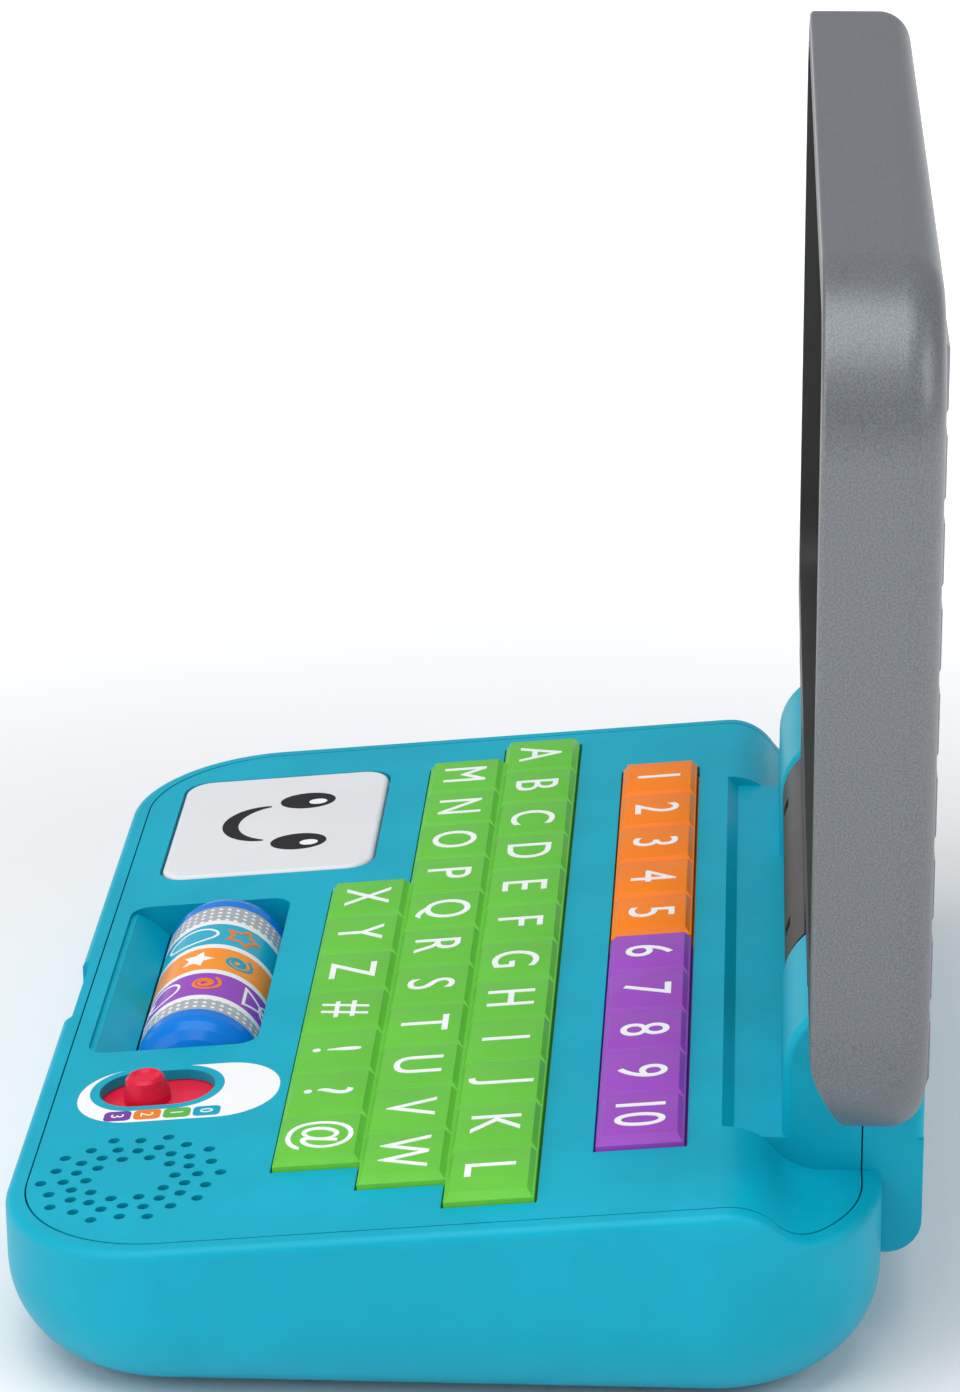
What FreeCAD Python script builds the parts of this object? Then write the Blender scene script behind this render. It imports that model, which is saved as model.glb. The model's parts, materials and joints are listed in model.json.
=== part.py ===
import FreeCAD, Part
import Sketcher
import math
import os
import re

# A toy laptop computer. +X is the user's right, +Y the hinge side, +Z up.
# The origin is at the middle of the underside. The deck slopes up towards the hinge, and
# what lies in it is built in the deck's own frame: X across, Y up the slope from the case's
# front edge, Z out of the deck. The lid is built standing upright.

Vector = FreeCAD.Vector
doc = FreeCAD.newDocument("ToyLaptop")

driving_sizes = (
    ("deckTilt", 5.27, "slope of the deck, in degrees"),
    ("frontHeight", 35.5, "height of the case at its front edge"),
    ("wall", 2.4, "wall of both case shells"),
    ("caseCorner", 37, "plan radius of the case's corners"),
    ("caseRoll", 22, "radius of the rolled lower edge"),
    ("rimRound", 2.2, "radius along the top of the rim"),
    ("rimWidth", 4.2, "rim of the bottom shell round the top shell"),
    ("seamGap", 0.35, "gap between the two case shells"),
    ("splitHeight", 30, "height above which the top shell may reach"),
    ("keyPitch", 22, "one key across"),
    ("keyMargin", 12.8, "case side to the longest key row"),
    ("rowPitch", 19.5, "one letter row to the next"),
    ("keyRise", 2.7, "key tops above the deck"),
    ("capHeight", 1.7, "a key cap above its plate"),
    ("keyBevel", 1.0, "slope round a key cap"),
    ("keyGroove", 0.7, "groove between key caps"),
    ("keyClearance", 0.6, "gap between the keys and the deck"),
    ("keyTravel", 1.5, "how far a key plate can be pressed"),
    ("flangeWidth", 2, "lip that keeps a key plate under the deck"),
    ("flangeThick", 1.5, "thickness of that lip"),
    ("underGap", 0.2, "play between stacked pieces"),
    ("matThick", 1.4, "rubber dome mat"),
    ("domeRadius", 4, "rubber dome under a key"),
    ("domeHeight", 1.0, "height of a dome over its mat"),
    ("boardThick", 1.6, "circuit board"),
    ("boardKeys", 5.4, "half the main board's width, in keys"),
    ("boardSetback", 2, "letter keys to the main board's edge"),
    ("boardHoleGap", 2, "gap round a screw column in the board"),
    ("wellSetback", 8.5, "front edge to the roller well"),
    ("wellLength", 40.2, "roller well, front to back"),
    ("wellWidth", 85, "roller well, side to side"),
    ("wellCorner", 5, "corner radius of the roller well"),
    ("wellDepth", 8, "depth of the well's side walls"),
    ("wellWall", 1.8, "wall round the roller well"),
    ("rampRun", 7, "ramp in the well's front, from its top to its foot"),
    ("rampLap", 0.4, "ramp's foot past the roller's clearance"),
    ("rampSink", 0.5, "ramp's ends inside the well's walls"),
    ("wellToKeys", 10.5, "roller well to the first key row"),
    ("keysToNumbers", 12.4, "last letter row to the number row"),
    ("numberLength", 19.3, "number keys, front to back"),
    ("numberGap", 1.0, "gap between the two number plates"),
    ("platformMargin", 8.0, "number row to the end of the platform"),
    ("shelfStep", 2.7, "length of the soft step down to the shelf"),
    ("shelfDrop", 2.4, "drop from the platform to the shelf"),
    ("shelfLength", 13.2, "platform's end to the hinge towers"),
    ("scoopDrop", 10.1, "drop of the case's rear corners"),
    ("scoopAngle", 52, "steepest slope of that drop, in degrees"),
    ("housingBump", 9, "rear housing behind the back wall"),
    ("housingFloor", 20, "height of the rear housing's underside"),
    ("housingRound", 8, "rounding of the rear housing"),
    ("towerRadius", 15.4, "half-round hinge towers"),
    ("towerInner", 55, "inner end of a tower from the middle"),
    ("towerOuter", 102, "outer end of a tower from the middle"),
    ("towerRound", 2, "rounding of a tower's ends"),
    ("notchWidth", 33, "finger notch in the front lip"),
    ("notchMiddle", 5, "middle of the notch across the case"),
    ("notchDepth", 2, "depth of the notch"),
    ("notchHeight", 9, "height of the notch"),
    ("notchCorner", 1.2, "corner radius of the notch"),
    ("notchBacking", 3, "wall past the notch, inside"),
    ("faceEdge", 20.8, "case side to the face button"),
    ("faceWidth", 65, "face button across"),
    ("faceLength", 54.2, "face button front to back"),
    ("faceSetback", 13.1, "front edge to the face button"),
    ("faceRise", 0.4, "face button above the deck"),
    ("faceThick", 3, "thickness of the face button's plate"),
    ("faceCorner", 7, "corner radius of the face button"),
    ("faceSoft", 1.2, "rounding round the face button's top"),
    ("faceDomeFoot", 10, "foot radius of the dome under it"),
    ("faceDomeTop", 7, "top radius of that dome"),
    ("faceDomeHeight", 6, "height of that dome"),
    ("faceDomeWall", 2, "wall of that dome"),
    ("faceBoardInset", 3, "face button's side to its light board"),
    ("faceToWell", 16.5, "least gap from face button to roller well"),
    ("rollerRadius", 15.2, "printed roller"),
    ("rollerRise", 4, "roller above the deck"),
    ("rollerHalf", 30, "half the length of the printed sleeve"),
    ("capLength", 11.5, "a roller cap with its domed end"),
    ("sleeveThick", 0.5, "printed sleeve on the drum"),
    ("drumWall", 2, "wall of the roller drum"),
    ("drumEnd", 1.5, "end wall of the drum"),
    ("capStraight", 0.3, "share of a cap's length before its dome"),
    ("rollerClearance", 0.9, "gap round the roller"),
    ("axleRadius", 2.5, "roller axle"),
    ("axleRoom", 0.3, "gap round the axle where it passes the well's walls"),
    ("runningFit", 0.06, "radial clearance of a turning fit"),
    ("cradleWall", 2, "wall of the roller cradle"),
    ("cradleLip", 1.5, "height of the cradle's lip under the well"),
    ("slotToWell", 12, "roller well to the slider slot"),
    ("slotWidth", 18, "slider slot across"),
    ("slotLength", 26.7, "slider slot along its travel"),
    ("slotSetback", 14.6, "front edge to the slider slot"),
    ("labelWidth", 28, "printed label across"),
    ("labelLength", 46.5, "printed label front to back"),
    ("labelSetback", 10, "front edge to the label"),
    ("labelMargin", 2, "slider slot to the label's inner edge"),
    ("labelThick", 0.4, "printed label, which lies in a recess"),
    ("labelCorner", 13.4, "corner radius of the label"),
    ("labelRing", 2.2, "bare ring round the slot, inside the label"),
    ("knobRadius", 5.4, "slider knob at its foot"),
    ("knobTop", 4.4, "slider knob at its top"),
    ("knobDish", 3.1, "radius of the dish in its top"),
    ("dishSlope", 0.8, "width of the dish's slope"),
    ("dishDepth", 0.5, "depth of the dish"),
    ("knobChamfer", 0.7, "chamfer round the knob's top"),
    ("knobSkirt", 1.5, "straight foot of the knob"),
    ("knobRise", 3.5, "slider knob above the deck"),
    ("knobPlateHalf", 16, "red sheet on the knob's foot, half its length"),
    ("knobRest", 10.8, "slot's front end to the knob's middle at rest"),
    ("sheetThick", 1, "thickness of the red sheet"),
    ("sheetLap", 1, "sheet past the slot's sides"),
    ("tongueHalf", 1.5, "half the width of the tongue under the knob"),
    ("tongueLength", 6, "length of that tongue"),
    ("tongueDepth", 4, "depth of that tongue"),
    ("switchMargin", 3, "switch past the slot's sides"),
    ("switchReach", 12, "switch past the slot's ends"),
    ("switchDepth", 8, "switch's underside below the knob's sheet level"),
    ("grooveHalf", 2.2, "half the width of the switch's groove"),
    ("grooveReach", 9, "groove past the slot's ends"),
    ("grooveDepth", 5, "depth of the groove"),
    ("speakerEdge", 36.3, "case side to the speaker's middle"),
    ("speakerSetback", 27.6, "front edge to the speaker's middle"),
    ("speakerRadius", 22.5, "speaker basket"),
    ("speakerDepth", 15, "speaker front to back"),
    ("magnetRadius", 13, "speaker magnet"),
    ("magnetHeight", 7, "height of that magnet"),
    ("speakerRoom", 13, "slider's slot to the speaker's rim, at least"),
    ("grilleHole", 1.3, "radius of a speaker hole"),
    ("grilleStep", 5.05, "one ring of speaker holes to the next"),
    ("grilleFirst", 9.9, "radius of the innermost ring"),
    ("hingeDrop", 10.6, "hinge axis to the lid's front face"),
    ("closedGap", 1.2, "gap between the closed lid and the deck"),
    ("lidSetback", 1.6, "closed lid's edge behind the case's front"),
    ("lidInset", 0.9, "closed lid's sides inside the case's"),
    ("lidFoot", 6, "lid below the hinge axis"),
    ("lidThick", 24.8, "lid front to back"),
    ("lidCorner", 34, "corner radius of the lid"),
    ("lidBackRound", 8, "rounding round the lid's back"),
    ("lidFrontRound", 1.1, "rounding round the lid's front rim"),
    ("lidWall", 2.2, "wall of the lid"),
    ("panelGap", 0.25, "gap round the lid's front panel"),
    ("padPitchX", 32, "raised pads on the lid's back, across"),
    ("padPitchZ", 18.4, "raised pads on the lid's back, upwards"),
    ("padRise", 0.8, "pads above the lid's back"),
    ("padGroove", 1.0, "groove between pads"),
    ("padSlope", 3, "run of a pad's sides, as a multiple of its rise"),
    ("padSink", 0.5, "pad's foot inside the lid's back"),
    ("barrelRadius", 14.8, "hinge barrel between the towers"),
    ("barrelWall", 2.5, "wall of the barrel"),
    ("barrelGap", 0.3, "gap round the barrel in the lid shell"),
    ("barrelSlotAt", 36, "middle of a slot in the barrel"),
    ("barrelSlotWidth", 5, "width of that slot"),
    ("barrelSlotDepth", 1.2, "depth of that slot"),
    ("barrelSlotLow", 2, "hinge axis to that slot's lower side"),
    ("barrelSlotHigh", 6, "hinge axis to that slot's upper side"),
    ("hingeSideGap", 1.5, "gap beside a tower"),
    ("hingeEnd", 4, "lid wall that holds a hinge pin"),
    ("clipHalf", 4, "half a friction clip's width"),
    ("clipArm", 4, "height of a clip's arm"),
    ("towerGap", 1.2, "gap round a tower in the lid"),
    ("shutRoom", 0.8, "more gap in front of a tower, for when the lid is shut"),
    ("earRise", 30, "lid's foot to where its ears begin to curve back"),
    ("earBend", 31, "radius of that curve"),
    ("earTurn", 21, "how far it turns, in degrees"),
    ("earTip", 3.6, "radius of an ear's round tip"),
    ("earSlope", 18, "slope of an ear's underside, in degrees"),
    ("pinRadius", 2, "hinge pin"),
    ("bushRadius", 5, "hinge bush"),
    ("bushFlange", 7, "flange of a hinge bush"),
    ("flangeOfBush", 1.5, "thickness of that flange"),
    ("screenSide", 11, "lid side to the screen recess"),
    ("screenTop", 9, "lid top to the screen recess"),
    ("screenFoot", 34, "hinge axis to the screen recess"),
    ("screenDepth", 6, "depth of the screen recess"),
    ("screenCorner", 14, "corner radius of the screen recess"),
    ("screenLedge", 6, "ledge round the screen window"),
    ("screenLip", 2, "thickness of that ledge and of the frame round the recess"),
    ("lensThick", 2, "screen lens"),
    ("lensLap", 3, "lens behind the ledge"),
    ("cardThick", 0.6, "printed screen card"),
    ("lightGap", 3.5, "screen card to its light board"),
    ("lightBoardHalf", 100, "half the light board's width"),
    ("lightBoardRise", 20, "half the light board's height"),
    ("lampPitch", 50, "one lamp to the next"),
    ("lampSize", 5, "side of a lamp"),
    ("lampThick", 1.5, "thickness of a lamp"),
    ("screwHead", 3, "radius of a screw's head"),
    ("screwShank", 1.5, "radius of a screw's shank"),
    ("headPlay", 0.2, "gap round a screw's head"),
    ("shankPlay", 0.1, "gap round a screw's shank"),
    ("headHeight", 2, "height of a case screw's head"),
    ("screwTip", 1, "length of a screw's point"),
    ("screwWell", 14, "depth of a screw's well in the case"),
    ("columnRadius", 5, "screw column in the case"),
    ("postRadius", 4, "screw post under the deck"),
    ("screwBite", 5, "thread's depth in a post"),
    ("screwFromKeys", 7.5, "first letter row to the screw beside it"),
    ("screwInset", 21, "case side to its screws"),
    ("lidBossRadius", 4.5, "screw boss in the lid"),
    ("lidScrewInset", 22, "lid side to its outer screws"),
    ("lidScrewMiddle", 20, "lid's middle to its inner screws"),
    ("lidScrewDrop", 10, "screen recess down to the lid's screws"),
    ("lidScrewSink", 1.6, "depth of the sink for a lid screw's head"),
    ("lidHeadHeight", 1.4, "height of a lid screw's head"),
    ("doorHalf", 38, "half the battery door's width"),
    ("doorLength", 70, "battery door front to back"),
    ("doorBack", 30, "hinge axis to the battery door's rear edge"),
    ("doorScrewInset", 5, "battery door's rear edge to its screw"),
    ("doorCorner", 4, "corner radius of the battery door"),
    ("doorGap", 0.3, "gap round the battery door"),
    ("ledgeReach", 4, "ledge past the battery door's edge"),
    ("ledgeLap", 3, "ledge over the battery door"),
    ("ledgeThick", 2, "thickness of that ledge"),
    ("doorScrewSink", 1.2, "depth of the door screw's head"),
    ("doorScrewLength", 7, "length of the door screw"),
    ("batteryRadius", 7.25, "AA battery"),
    ("batteryLength", 49, "AA battery without its button"),
    ("batteryPitch", 16.5, "one battery to the next"),
    ("batteryNub", 1.3, "button on a battery's end"),
    ("nubRadius", 2.7, "radius of that button"),
    ("batteryGap", 1, "gap under a battery"),
    ("boxWall", 1.5, "wall of the battery box"),
    ("boxHeight", 17, "battery box, inside height"),
    ("boxEndRoom", 4, "battery's end to the box's wall"),
    ("boxSideRoom", 2, "outer batteries' half pitch to the box's wall"),
    ("contactGap", 1.8, "battery's end to its contact"),
    ("contactThick", 0.6, "battery contact"),
    ("contactHalf", 5, "half a contact's width"),
    ("contactLow", 2, "box's foot to a contact's foot"),
    ("contactHigh", 14, "box's foot to a contact's top"),
    ("footRadius", 7, "rubber foot"),
    ("footRise", 0.8, "rubber foot below the case"),
    ("footTaper", 0.4, "slope round a foot"),
    ("footInset", 30, "case side to a foot's middle"),
)

# Sizes that follow from the driving ones, each from those above it.
worked_out = (
    ("platformLength", "wellSetback + wellLength + wellToKeys + 3 * rowPitch + keysToNumbers"
     " + numberLength + platformMargin"),
    ("faceSideHalf", "faceEdge + faceWidth + faceToWell + wellWidth / 2"),
    ("speakerSideHalf", "wellWidth / 2 + slotToWell + slotWidth + speakerRadius + speakerRoom + speakerEdge"),
    ("halfWidth", "max(6 * keyPitch + keyMargin; faceSideHalf; speakerSideHalf)"),
    ("platformDepth", "platformLength * cos(deckTilt)"),
    ("halfDepth", "(platformDepth + shelfLength + 2 * towerRadius) / 2"),
    ("frontY", "0 - halfDepth"),
    ("platformY", "frontY + platformDepth"),
    ("platformZ", "footRise + frontHeight + platformLength * sin(deckTilt)"),
    ("hingeY", "halfDepth - towerRadius"),
    ("caseBack", "halfDepth - housingBump"),
    ("frontZ", "footRise + frontHeight"),
    ("hingeZ", "frontZ + (hingeY - frontY) * tan(deckTilt) + (hingeDrop + closedGap) / cos(deckTilt)"),
    ("shelfZ", "platformZ - shelfDrop"),
    ("rowsStart", "wellSetback + wellLength + wellToKeys"),
    ("numbersStart", "rowsStart + 3 * rowPitch + keysToNumbers"),
    ("rollerY", "wellSetback + wellLength - rollerRadius - rollerClearance"),
    ("rollerZ", "rollerRise - rollerRadius"),
    ("slotX", "wellWidth / 2 + slotToWell + slotWidth / 2"),
    ("knobY", "slotSetback + knobRest"),
    ("speakerX", "halfWidth - speakerEdge"),
    ("faceX", "faceEdge + faceWidth / 2 - halfWidth"),
    ("faceY", "faceSetback + faceLength / 2"),
    ("matTop", "0 - wall - underGap - flangeThick - keyTravel - underGap - domeHeight"),
    ("boardTop", "matTop - matThick"),
    ("lidHalf", "halfWidth - lidInset"),
    ("lidFront", "hingeY - hingeDrop"),
    ("lidBack", "lidFront + lidThick"),
    ("lidBottom", "hingeZ - lidFoot"),
    ("lidTop", "hingeZ + (hingeY - frontY) / cos(deckTilt) - lidSetback"),
    ("screenHalf", "lidHalf - screenSide"),
    ("screenLow", "hingeZ + screenFoot"),
    ("screenHigh", "lidTop - screenTop"),
    ("pinInner", "towerInner - hingeSideGap - hingeEnd"),
    ("pinOuter", "towerOuter + hingeSideGap + hingeEnd"),
    ("doorFarY", "hingeY - doorBack"),
    ("doorNearY", "doorFarY - doorLength"),
)

sheet = doc.addObject("Spreadsheet::Sheet", "Sizes")
for row, (alias, value, note) in enumerate(driving_sizes, 1):
    sheet.set(f"A{row}", note)
    sheet.set(f"B{row}", str(value))
    sheet.setAlias(f"B{row}", alias)
driving_names = {alias for alias, value, note in driving_sizes}

layout = doc.addObject("Spreadsheet::Sheet", "Layout")
for row, (alias, text) in enumerate(worked_out, 1):
    cell = re.sub(r"[A-Za-z]\w*", lambda m: f"Sizes.{m[0]}" if m[0] in driving_names else m[0], text)
    layout.set(f"A{row}", alias)
    layout.set(f"B{row}", "=" + cell)
    layout.setAlias(f"B{row}", alias)
layout_names = {alias for alias, text in worked_out}
doc.recompute()


def formula(text):
    """An expression with each named size spelled as its sheet's cell."""
    def spell(match):
        word = match[0]
        if word in driving_names:
            return "Sizes." + word
        if word in layout_names:
            return "Layout." + word
        return word
    return re.sub(r"[A-Za-z]\w*", spell, str(text))


def size(alias):
    """The value of one named size."""
    return float(getattr(sheet if alias in driving_names else layout, alias))


def bind(thing, path, text):
    thing.setExpression(path, formula(text))


def turned_to(axis):
    """The rotation that takes +Z to an axis."""
    turns = {"x": (Vector(0, 1, 0), 90), "y": (Vector(1, 0, 0), -90), "z": (Vector(0, 0, 1), 0)}
    return FreeCAD.Rotation(*turns[axis])


def block(name, x, y, z):
    """A box from one low corner to one high corner."""
    box = doc.addObject("Part::Box", name)
    for side, axis, (low, high) in zip(("Length", "Width", "Height"), "xyz", (x, y, z)):
        bind(box, side, f"({high}) - ({low})")
        bind(box, "Placement.Base." + axis, low)
    return box


def rod(name, axis, middle, span, radius):
    """A cylinder along an axis. middle is its centre on the other two axes, in order."""
    cylinder = doc.addObject("Part::Cylinder", name)
    cylinder.Placement = FreeCAD.Placement(Vector(), turned_to(axis))
    bind(cylinder, "Radius", radius)
    bind(cylinder, "Height", f"({span[1]}) - ({span[0]})")
    places = list(middle)
    places.insert("xyz".index(axis), span[0])
    for letter, place in zip("xyz", places):
        bind(cylinder, "Placement.Base." + letter, place)
    return cylinder


def keystone(name, x, y, z, slope):
    """A box whose top is smaller by a slope on each side."""
    wedge = doc.addObject("Part::Wedge", name)
    wedge.Placement = FreeCAD.Placement(Vector(), FreeCAD.Rotation(Vector(1, 0, 0), 90))
    bind(wedge, "Xmin", x[0])
    bind(wedge, "Xmax", x[1])
    bind(wedge, "X2min", f"({x[0]}) + {slope}")
    bind(wedge, "X2max", f"({x[1]}) - {slope}")
    bind(wedge, "Ymin", z[0])
    bind(wedge, "Ymax", z[1])
    bind(wedge, "Zmin", f"0 - ({y[1]})")
    bind(wedge, "Zmax", f"0 - ({y[0]})")
    bind(wedge, "Z2min", f"0 - ({y[1]}) + {slope}")
    bind(wedge, "Z2max", f"0 - ({y[0]}) - {slope}")
    return wedge


def fuse(name, *pieces):
    """Pieces joined into one, or the piece itself when there is only one."""
    if len(pieces) == 1:
        return pieces[0]
    joined = doc.addObject("Part::MultiFuse", name)
    joined.Shapes = list(pieces)
    joined.Refine = True
    return joined


def cut(name, base, *tools):
    less = doc.addObject("Part::Cut", name)
    less.Base = base
    less.Tool = fuse(name + "_tools", *tools)
    return less


def common(name, first, second):
    both = doc.addObject("Part::Common", name)
    both.Base = first
    both.Tool = second
    return both


def group(name, *pieces):
    """Separate solids kept as one node."""
    together = doc.addObject("Part::Compound", name)
    together.Links = list(pieces)
    return together


def along(axis):
    """Picks the straight edges that run along an axis."""
    way = {"x": Vector(1, 0, 0), "y": Vector(0, 1, 0), "z": Vector(0, 0, 1)}[axis]

    def picks(edge):
        return isinstance(edge.Curve, Part.Line) and abs(edge.Curve.Direction.dot(way)) > 0.999
    return picks


def at_level(axis, level):
    """Picks the edges that lie in the plane where an axis has one value."""
    def picks(edge):
        box = edge.BoundBox
        low = getattr(box, axis.upper() + "Min")
        high = getattr(box, axis.upper() + "Max")
        return abs(low - level) < 0.01 and abs(high - level) < 0.01
    return picks


def rounded(name, source, radius, picks):
    """The source with the picked edges rounded."""
    doc.recompute()
    fillet = doc.addObject("Part::Fillet", name)
    fillet.Base = source
    chosen = [i for i, edge in enumerate(source.Shape.Edges, 1) if picks(edge)]
    fillet.Edges = [(i, radius, radius) for i in chosen]
    return fillet


def plate(name, x, y, z, radius, axis="z"):
    """A box whose four edges along an axis are rounded."""
    return rounded(name, block(name + "_block", x, y, z), radius, along(axis))


def turned(name, axis, place, profile):
    """A turned piece: a body that revolves a closed outline of (radius, height) corners."""
    body = doc.addObject("PartDesign::Body", name)
    sketch = body.newObject("Sketcher::SketchObject", name + "_outline")
    front = [plane for plane in body.Origin.OriginFeatures if plane.Role == "XZ_Plane"][0]
    sketch.AttachmentSupport = [(front, "")]
    sketch.MapMode = "FlatFace"
    corners = [Vector(i + 1, i * i, 0) for i in range(len(profile))]
    for i, corner in enumerate(corners):
        sketch.addGeometry(Part.LineSegment(corner, corners[(i + 1) % len(corners)]), False)
    for i in range(len(profile)):
        sketch.addConstraint(Sketcher.Constraint("Coincident", i, 2, (i + 1) % len(profile), 1))
    for i, (radius, height) in enumerate(profile):
        for kind, text in (("DistanceX", radius), ("DistanceY", height)):
            index = sketch.addConstraint(Sketcher.Constraint(kind, -1, 1, i, 1, 1.0 + i))
            sketch.setExpression(f"Constraints[{index}]", formula(text))
    spin = body.newObject("PartDesign::Revolution", name + "_turn")
    spin.Profile = sketch
    spin.ReferenceAxis = (sketch, ["V_Axis"])
    spin.Angle = 360
    body.Placement = FreeCAD.Placement(Vector(), turned_to(axis))
    for letter, text in zip("xyz", place):
        bind(body, "Placement.Base." + letter, text)
    return body


def on_deck(piece):
    """Lays a piece that was built in the deck's frame on the sloping deck."""
    if piece.TypeId in ("Part::Box", "Part::Cylinder", "PartDesign::Body"):
        piece = group(piece.Name + "_laid", piece)
    slope = FreeCAD.Rotation(Vector(1, 0, 0), size("deckTilt"))
    piece.Placement = FreeCAD.Placement(Vector(0, 0, 0), slope)
    bind(piece, "Placement.Base.y", "frontY")
    bind(piece, "Placement.Base.z", "frontZ")
    bind(piece, "Placement.Rotation.Angle", "deckTilt")
    return piece


nodes = {}


def node(name, piece):
    """Names a finished sub-part."""
    piece.Label = name
    nodes[name] = piece
    return piece


# The case: one outer form and one hollow, made alike with the wall between them.

def scoop_outline(skin):
    """The sides' profile in Y and Z: the deck, then two arcs down to the rear corners."""
    tilt = math.radians(size("deckTilt"))
    steep = math.radians(size("scoopAngle"))
    radius = size("scoopDrop") / (1 + math.cos(tilt) - 2 * math.cos(steep))
    reach = radius * (math.sin(tilt) + 2 * math.sin(steep))
    start = Vector(0, size("platformY"), size("platformZ"))
    over = start + Vector(0, math.sin(tilt), -math.cos(tilt)) * radius
    under = start + Vector(0, reach, radius - size("scoopDrop"))

    def on_over(heading):
        return over + Vector(0, -math.sin(heading), math.cos(heading)) * (radius - skin)

    def on_under(heading):
        return under + Vector(0, math.sin(heading), -math.cos(heading)) * (radius + skin)

    deck_end = on_over(tilt)
    deck_start = deck_end - Vector(0, math.cos(tilt), math.sin(tilt)) * (size("platformLength") + 30)
    middle = on_over(-steep)
    floor = on_under(0)
    rear = Vector(0, size("halfDepth") + 20, floor.z)
    lines = [
        Part.LineSegment(deck_start, deck_end).toShape(),
        Part.Arc(deck_end, on_over((tilt - steep) / 2), middle).toShape(),
        Part.Arc(middle, on_under(-steep / 2), floor).toShape(),
        Part.LineSegment(floor, rear).toShape(),
        Part.LineSegment(rear, Vector(0, rear.y, -20)).toShape(),
        Part.LineSegment(Vector(0, rear.y, -20), Vector(0, deck_start.y, -20)).toShape(),
        Part.LineSegment(Vector(0, deck_start.y, -20), deck_start).toShape(),
    ]
    return Part.Wire(lines)


def across(outline, half):
    """An outline in Y and Z drawn out to both sides."""
    face = Part.Face(outline)
    face.translate(Vector(-half, 0, 0))
    return face.extrude(Vector(2 * half, 0, 0))


def tray_form(skin):
    """The tray with rolled lower edges, up to the deck and the dipped rear corners."""
    half = size("halfWidth") - skin
    front = size("frontY") + skin
    back = size("caseBack") - skin
    low = size("footRise") + skin
    tray = Part.makeBox(2 * half, back - front, 90, Vector(-half, front, low))
    tray = tray.makeFillet(size("caseCorner") - skin, [e for e in tray.Edges if along("z")(e)])
    tray = tray.makeFillet(size("caseRoll") - skin, [e for e in tray.Edges if at_level("z", low)(e)])
    tray = tray.common(across(scoop_outline(skin), half + 5))
    if skin == 0:
        rim = [e for e in tray.Edges if is_rim(e)]
        tray = tray.makeFillet(size("rimRound"), rim)
    return tray


def is_rim(edge):
    """An edge between the case's sides and its top, which lies above the split."""
    if edge.BoundBox.ZMin < size("splitHeight"):
        return False
    middle = edge.valueAt((edge.FirstParameter + edge.LastParameter) / 2)
    sideways = size("halfWidth") - abs(middle.x)
    inward = min(middle.y - size("frontY"), size("caseBack") - middle.y)
    corner = size("caseCorner")
    across_corner = math.hypot(max(corner - sideways, 0), max(corner - inward, 0))
    return abs(corner - across_corner) < 0.05 or sideways < 0.05 or inward < 0.05


def shelf_recess(skin):
    """What is cut from over the shelf, with its soft step."""
    half = size("towerOuter") + skin
    top = size("platformZ") + 30
    step = size("platformY") - skin
    low = size("shelfZ") - skin
    corners = [
        Vector(0, step, top), Vector(0, step, size("platformZ") - skin),
        Vector(0, step + size("shelfStep"), low), Vector(0, size("halfDepth") + 5, low),
        Vector(0, size("halfDepth") + 5, top), Vector(0, step, top),
    ]
    return across(Part.makePolygon(corners), half)


def housing_form(skin):
    """The housing behind the back wall, which carries the hinge towers."""
    half = size("towerOuter") - skin
    front = size("platformY")
    back = size("halfDepth") - skin
    low = size("footRise") + size("housingFloor") + skin
    housing = Part.makeBox(2 * half, back - front, size("shelfZ") - skin - low, Vector(-half, front, low))

    def is_rear_foot(edge):
        return along("x")(edge) and edge.BoundBox.YMin > back - 1 and edge.BoundBox.ZMax < low + 1
    return housing.makeFillet(size("housingRound") - skin, [e for e in housing.Edges if is_rear_foot(e)])


def tower_form(side, skin):
    """One half-round hinge tower."""
    radius = size("towerRadius") - skin
    length = size("towerOuter") - size("towerInner") - 2 * skin
    start = size("towerInner") + skin
    low = size("shelfZ") - size("wall") - 3
    axis_y = size("hingeY")
    axis_z = size("hingeZ")
    tower = Part.makeCylinder(radius, length, Vector(start, axis_y, axis_z), Vector(1, 0, 0))
    stem = Part.makeBox(length, 2 * radius, axis_z - low, Vector(start, axis_y - radius, low))
    tower = tower.fuse(stem).removeSplitter()
    if skin == 0:
        ends = [e for e in tower.Edges if e.BoundBox.XLength < 0.01 and e.BoundBox.ZMax > low + 1]
        tower = tower.makeFillet(size("towerRound"), ends)
    if side < 0:
        tower = tower.mirror(Vector(), Vector(1, 0, 0))
    return tower


def case_form(skin):
    case = tray_form(skin).fuse(housing_form(skin))
    case = case.cut(shelf_recess(skin))
    return case.fuse([tower_form(side, skin) for side in (-1, 1)]).removeSplitter()


def shaped(name, shape):
    """A piece whose form is worked out above."""
    feature = doc.addObject("Part::Feature", name)
    feature.Shape = shape
    return feature


def inset_zone(name, inset):
    """The upright zone that the top shell fills, rounded like the case in plan."""
    return plate(
        name,
        (f"{inset} - halfWidth", f"halfWidth - ({inset})"),
        (f"frontY + {inset}", f"caseBack - ({inset})"),
        ("splitHeight", "hingeZ + 60"),
        size("caseCorner") - size("rimWidth"),
    )


outer = shaped("case_outer", case_form(0))
hollow = shaped("case_hollow", case_form(size("wall")))

# Where the case's screws stand, as (x, y) from named edges.
screw_places = (
    ("0 - 2 * keyPitch - screwFromKeys", "rowsStart + rowPitch / 4 + frontY"),
    ("halfWidth - screwInset", "rowsStart + rowPitch / 2 + frontY"),
    ("screwInset - halfWidth", "numbersStart + numberLength / 2 + frontY"),
    ("halfWidth - screwInset", "numbersStart + numberLength / 2 + frontY"),
    ("0", "platformY + shelfLength / 2"),
)


# The letter rows from the front: how many keys each one is set in from the left, and its keys.
letter_rows = ((4, 7), (0.5, 11), (0, 12))


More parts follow.
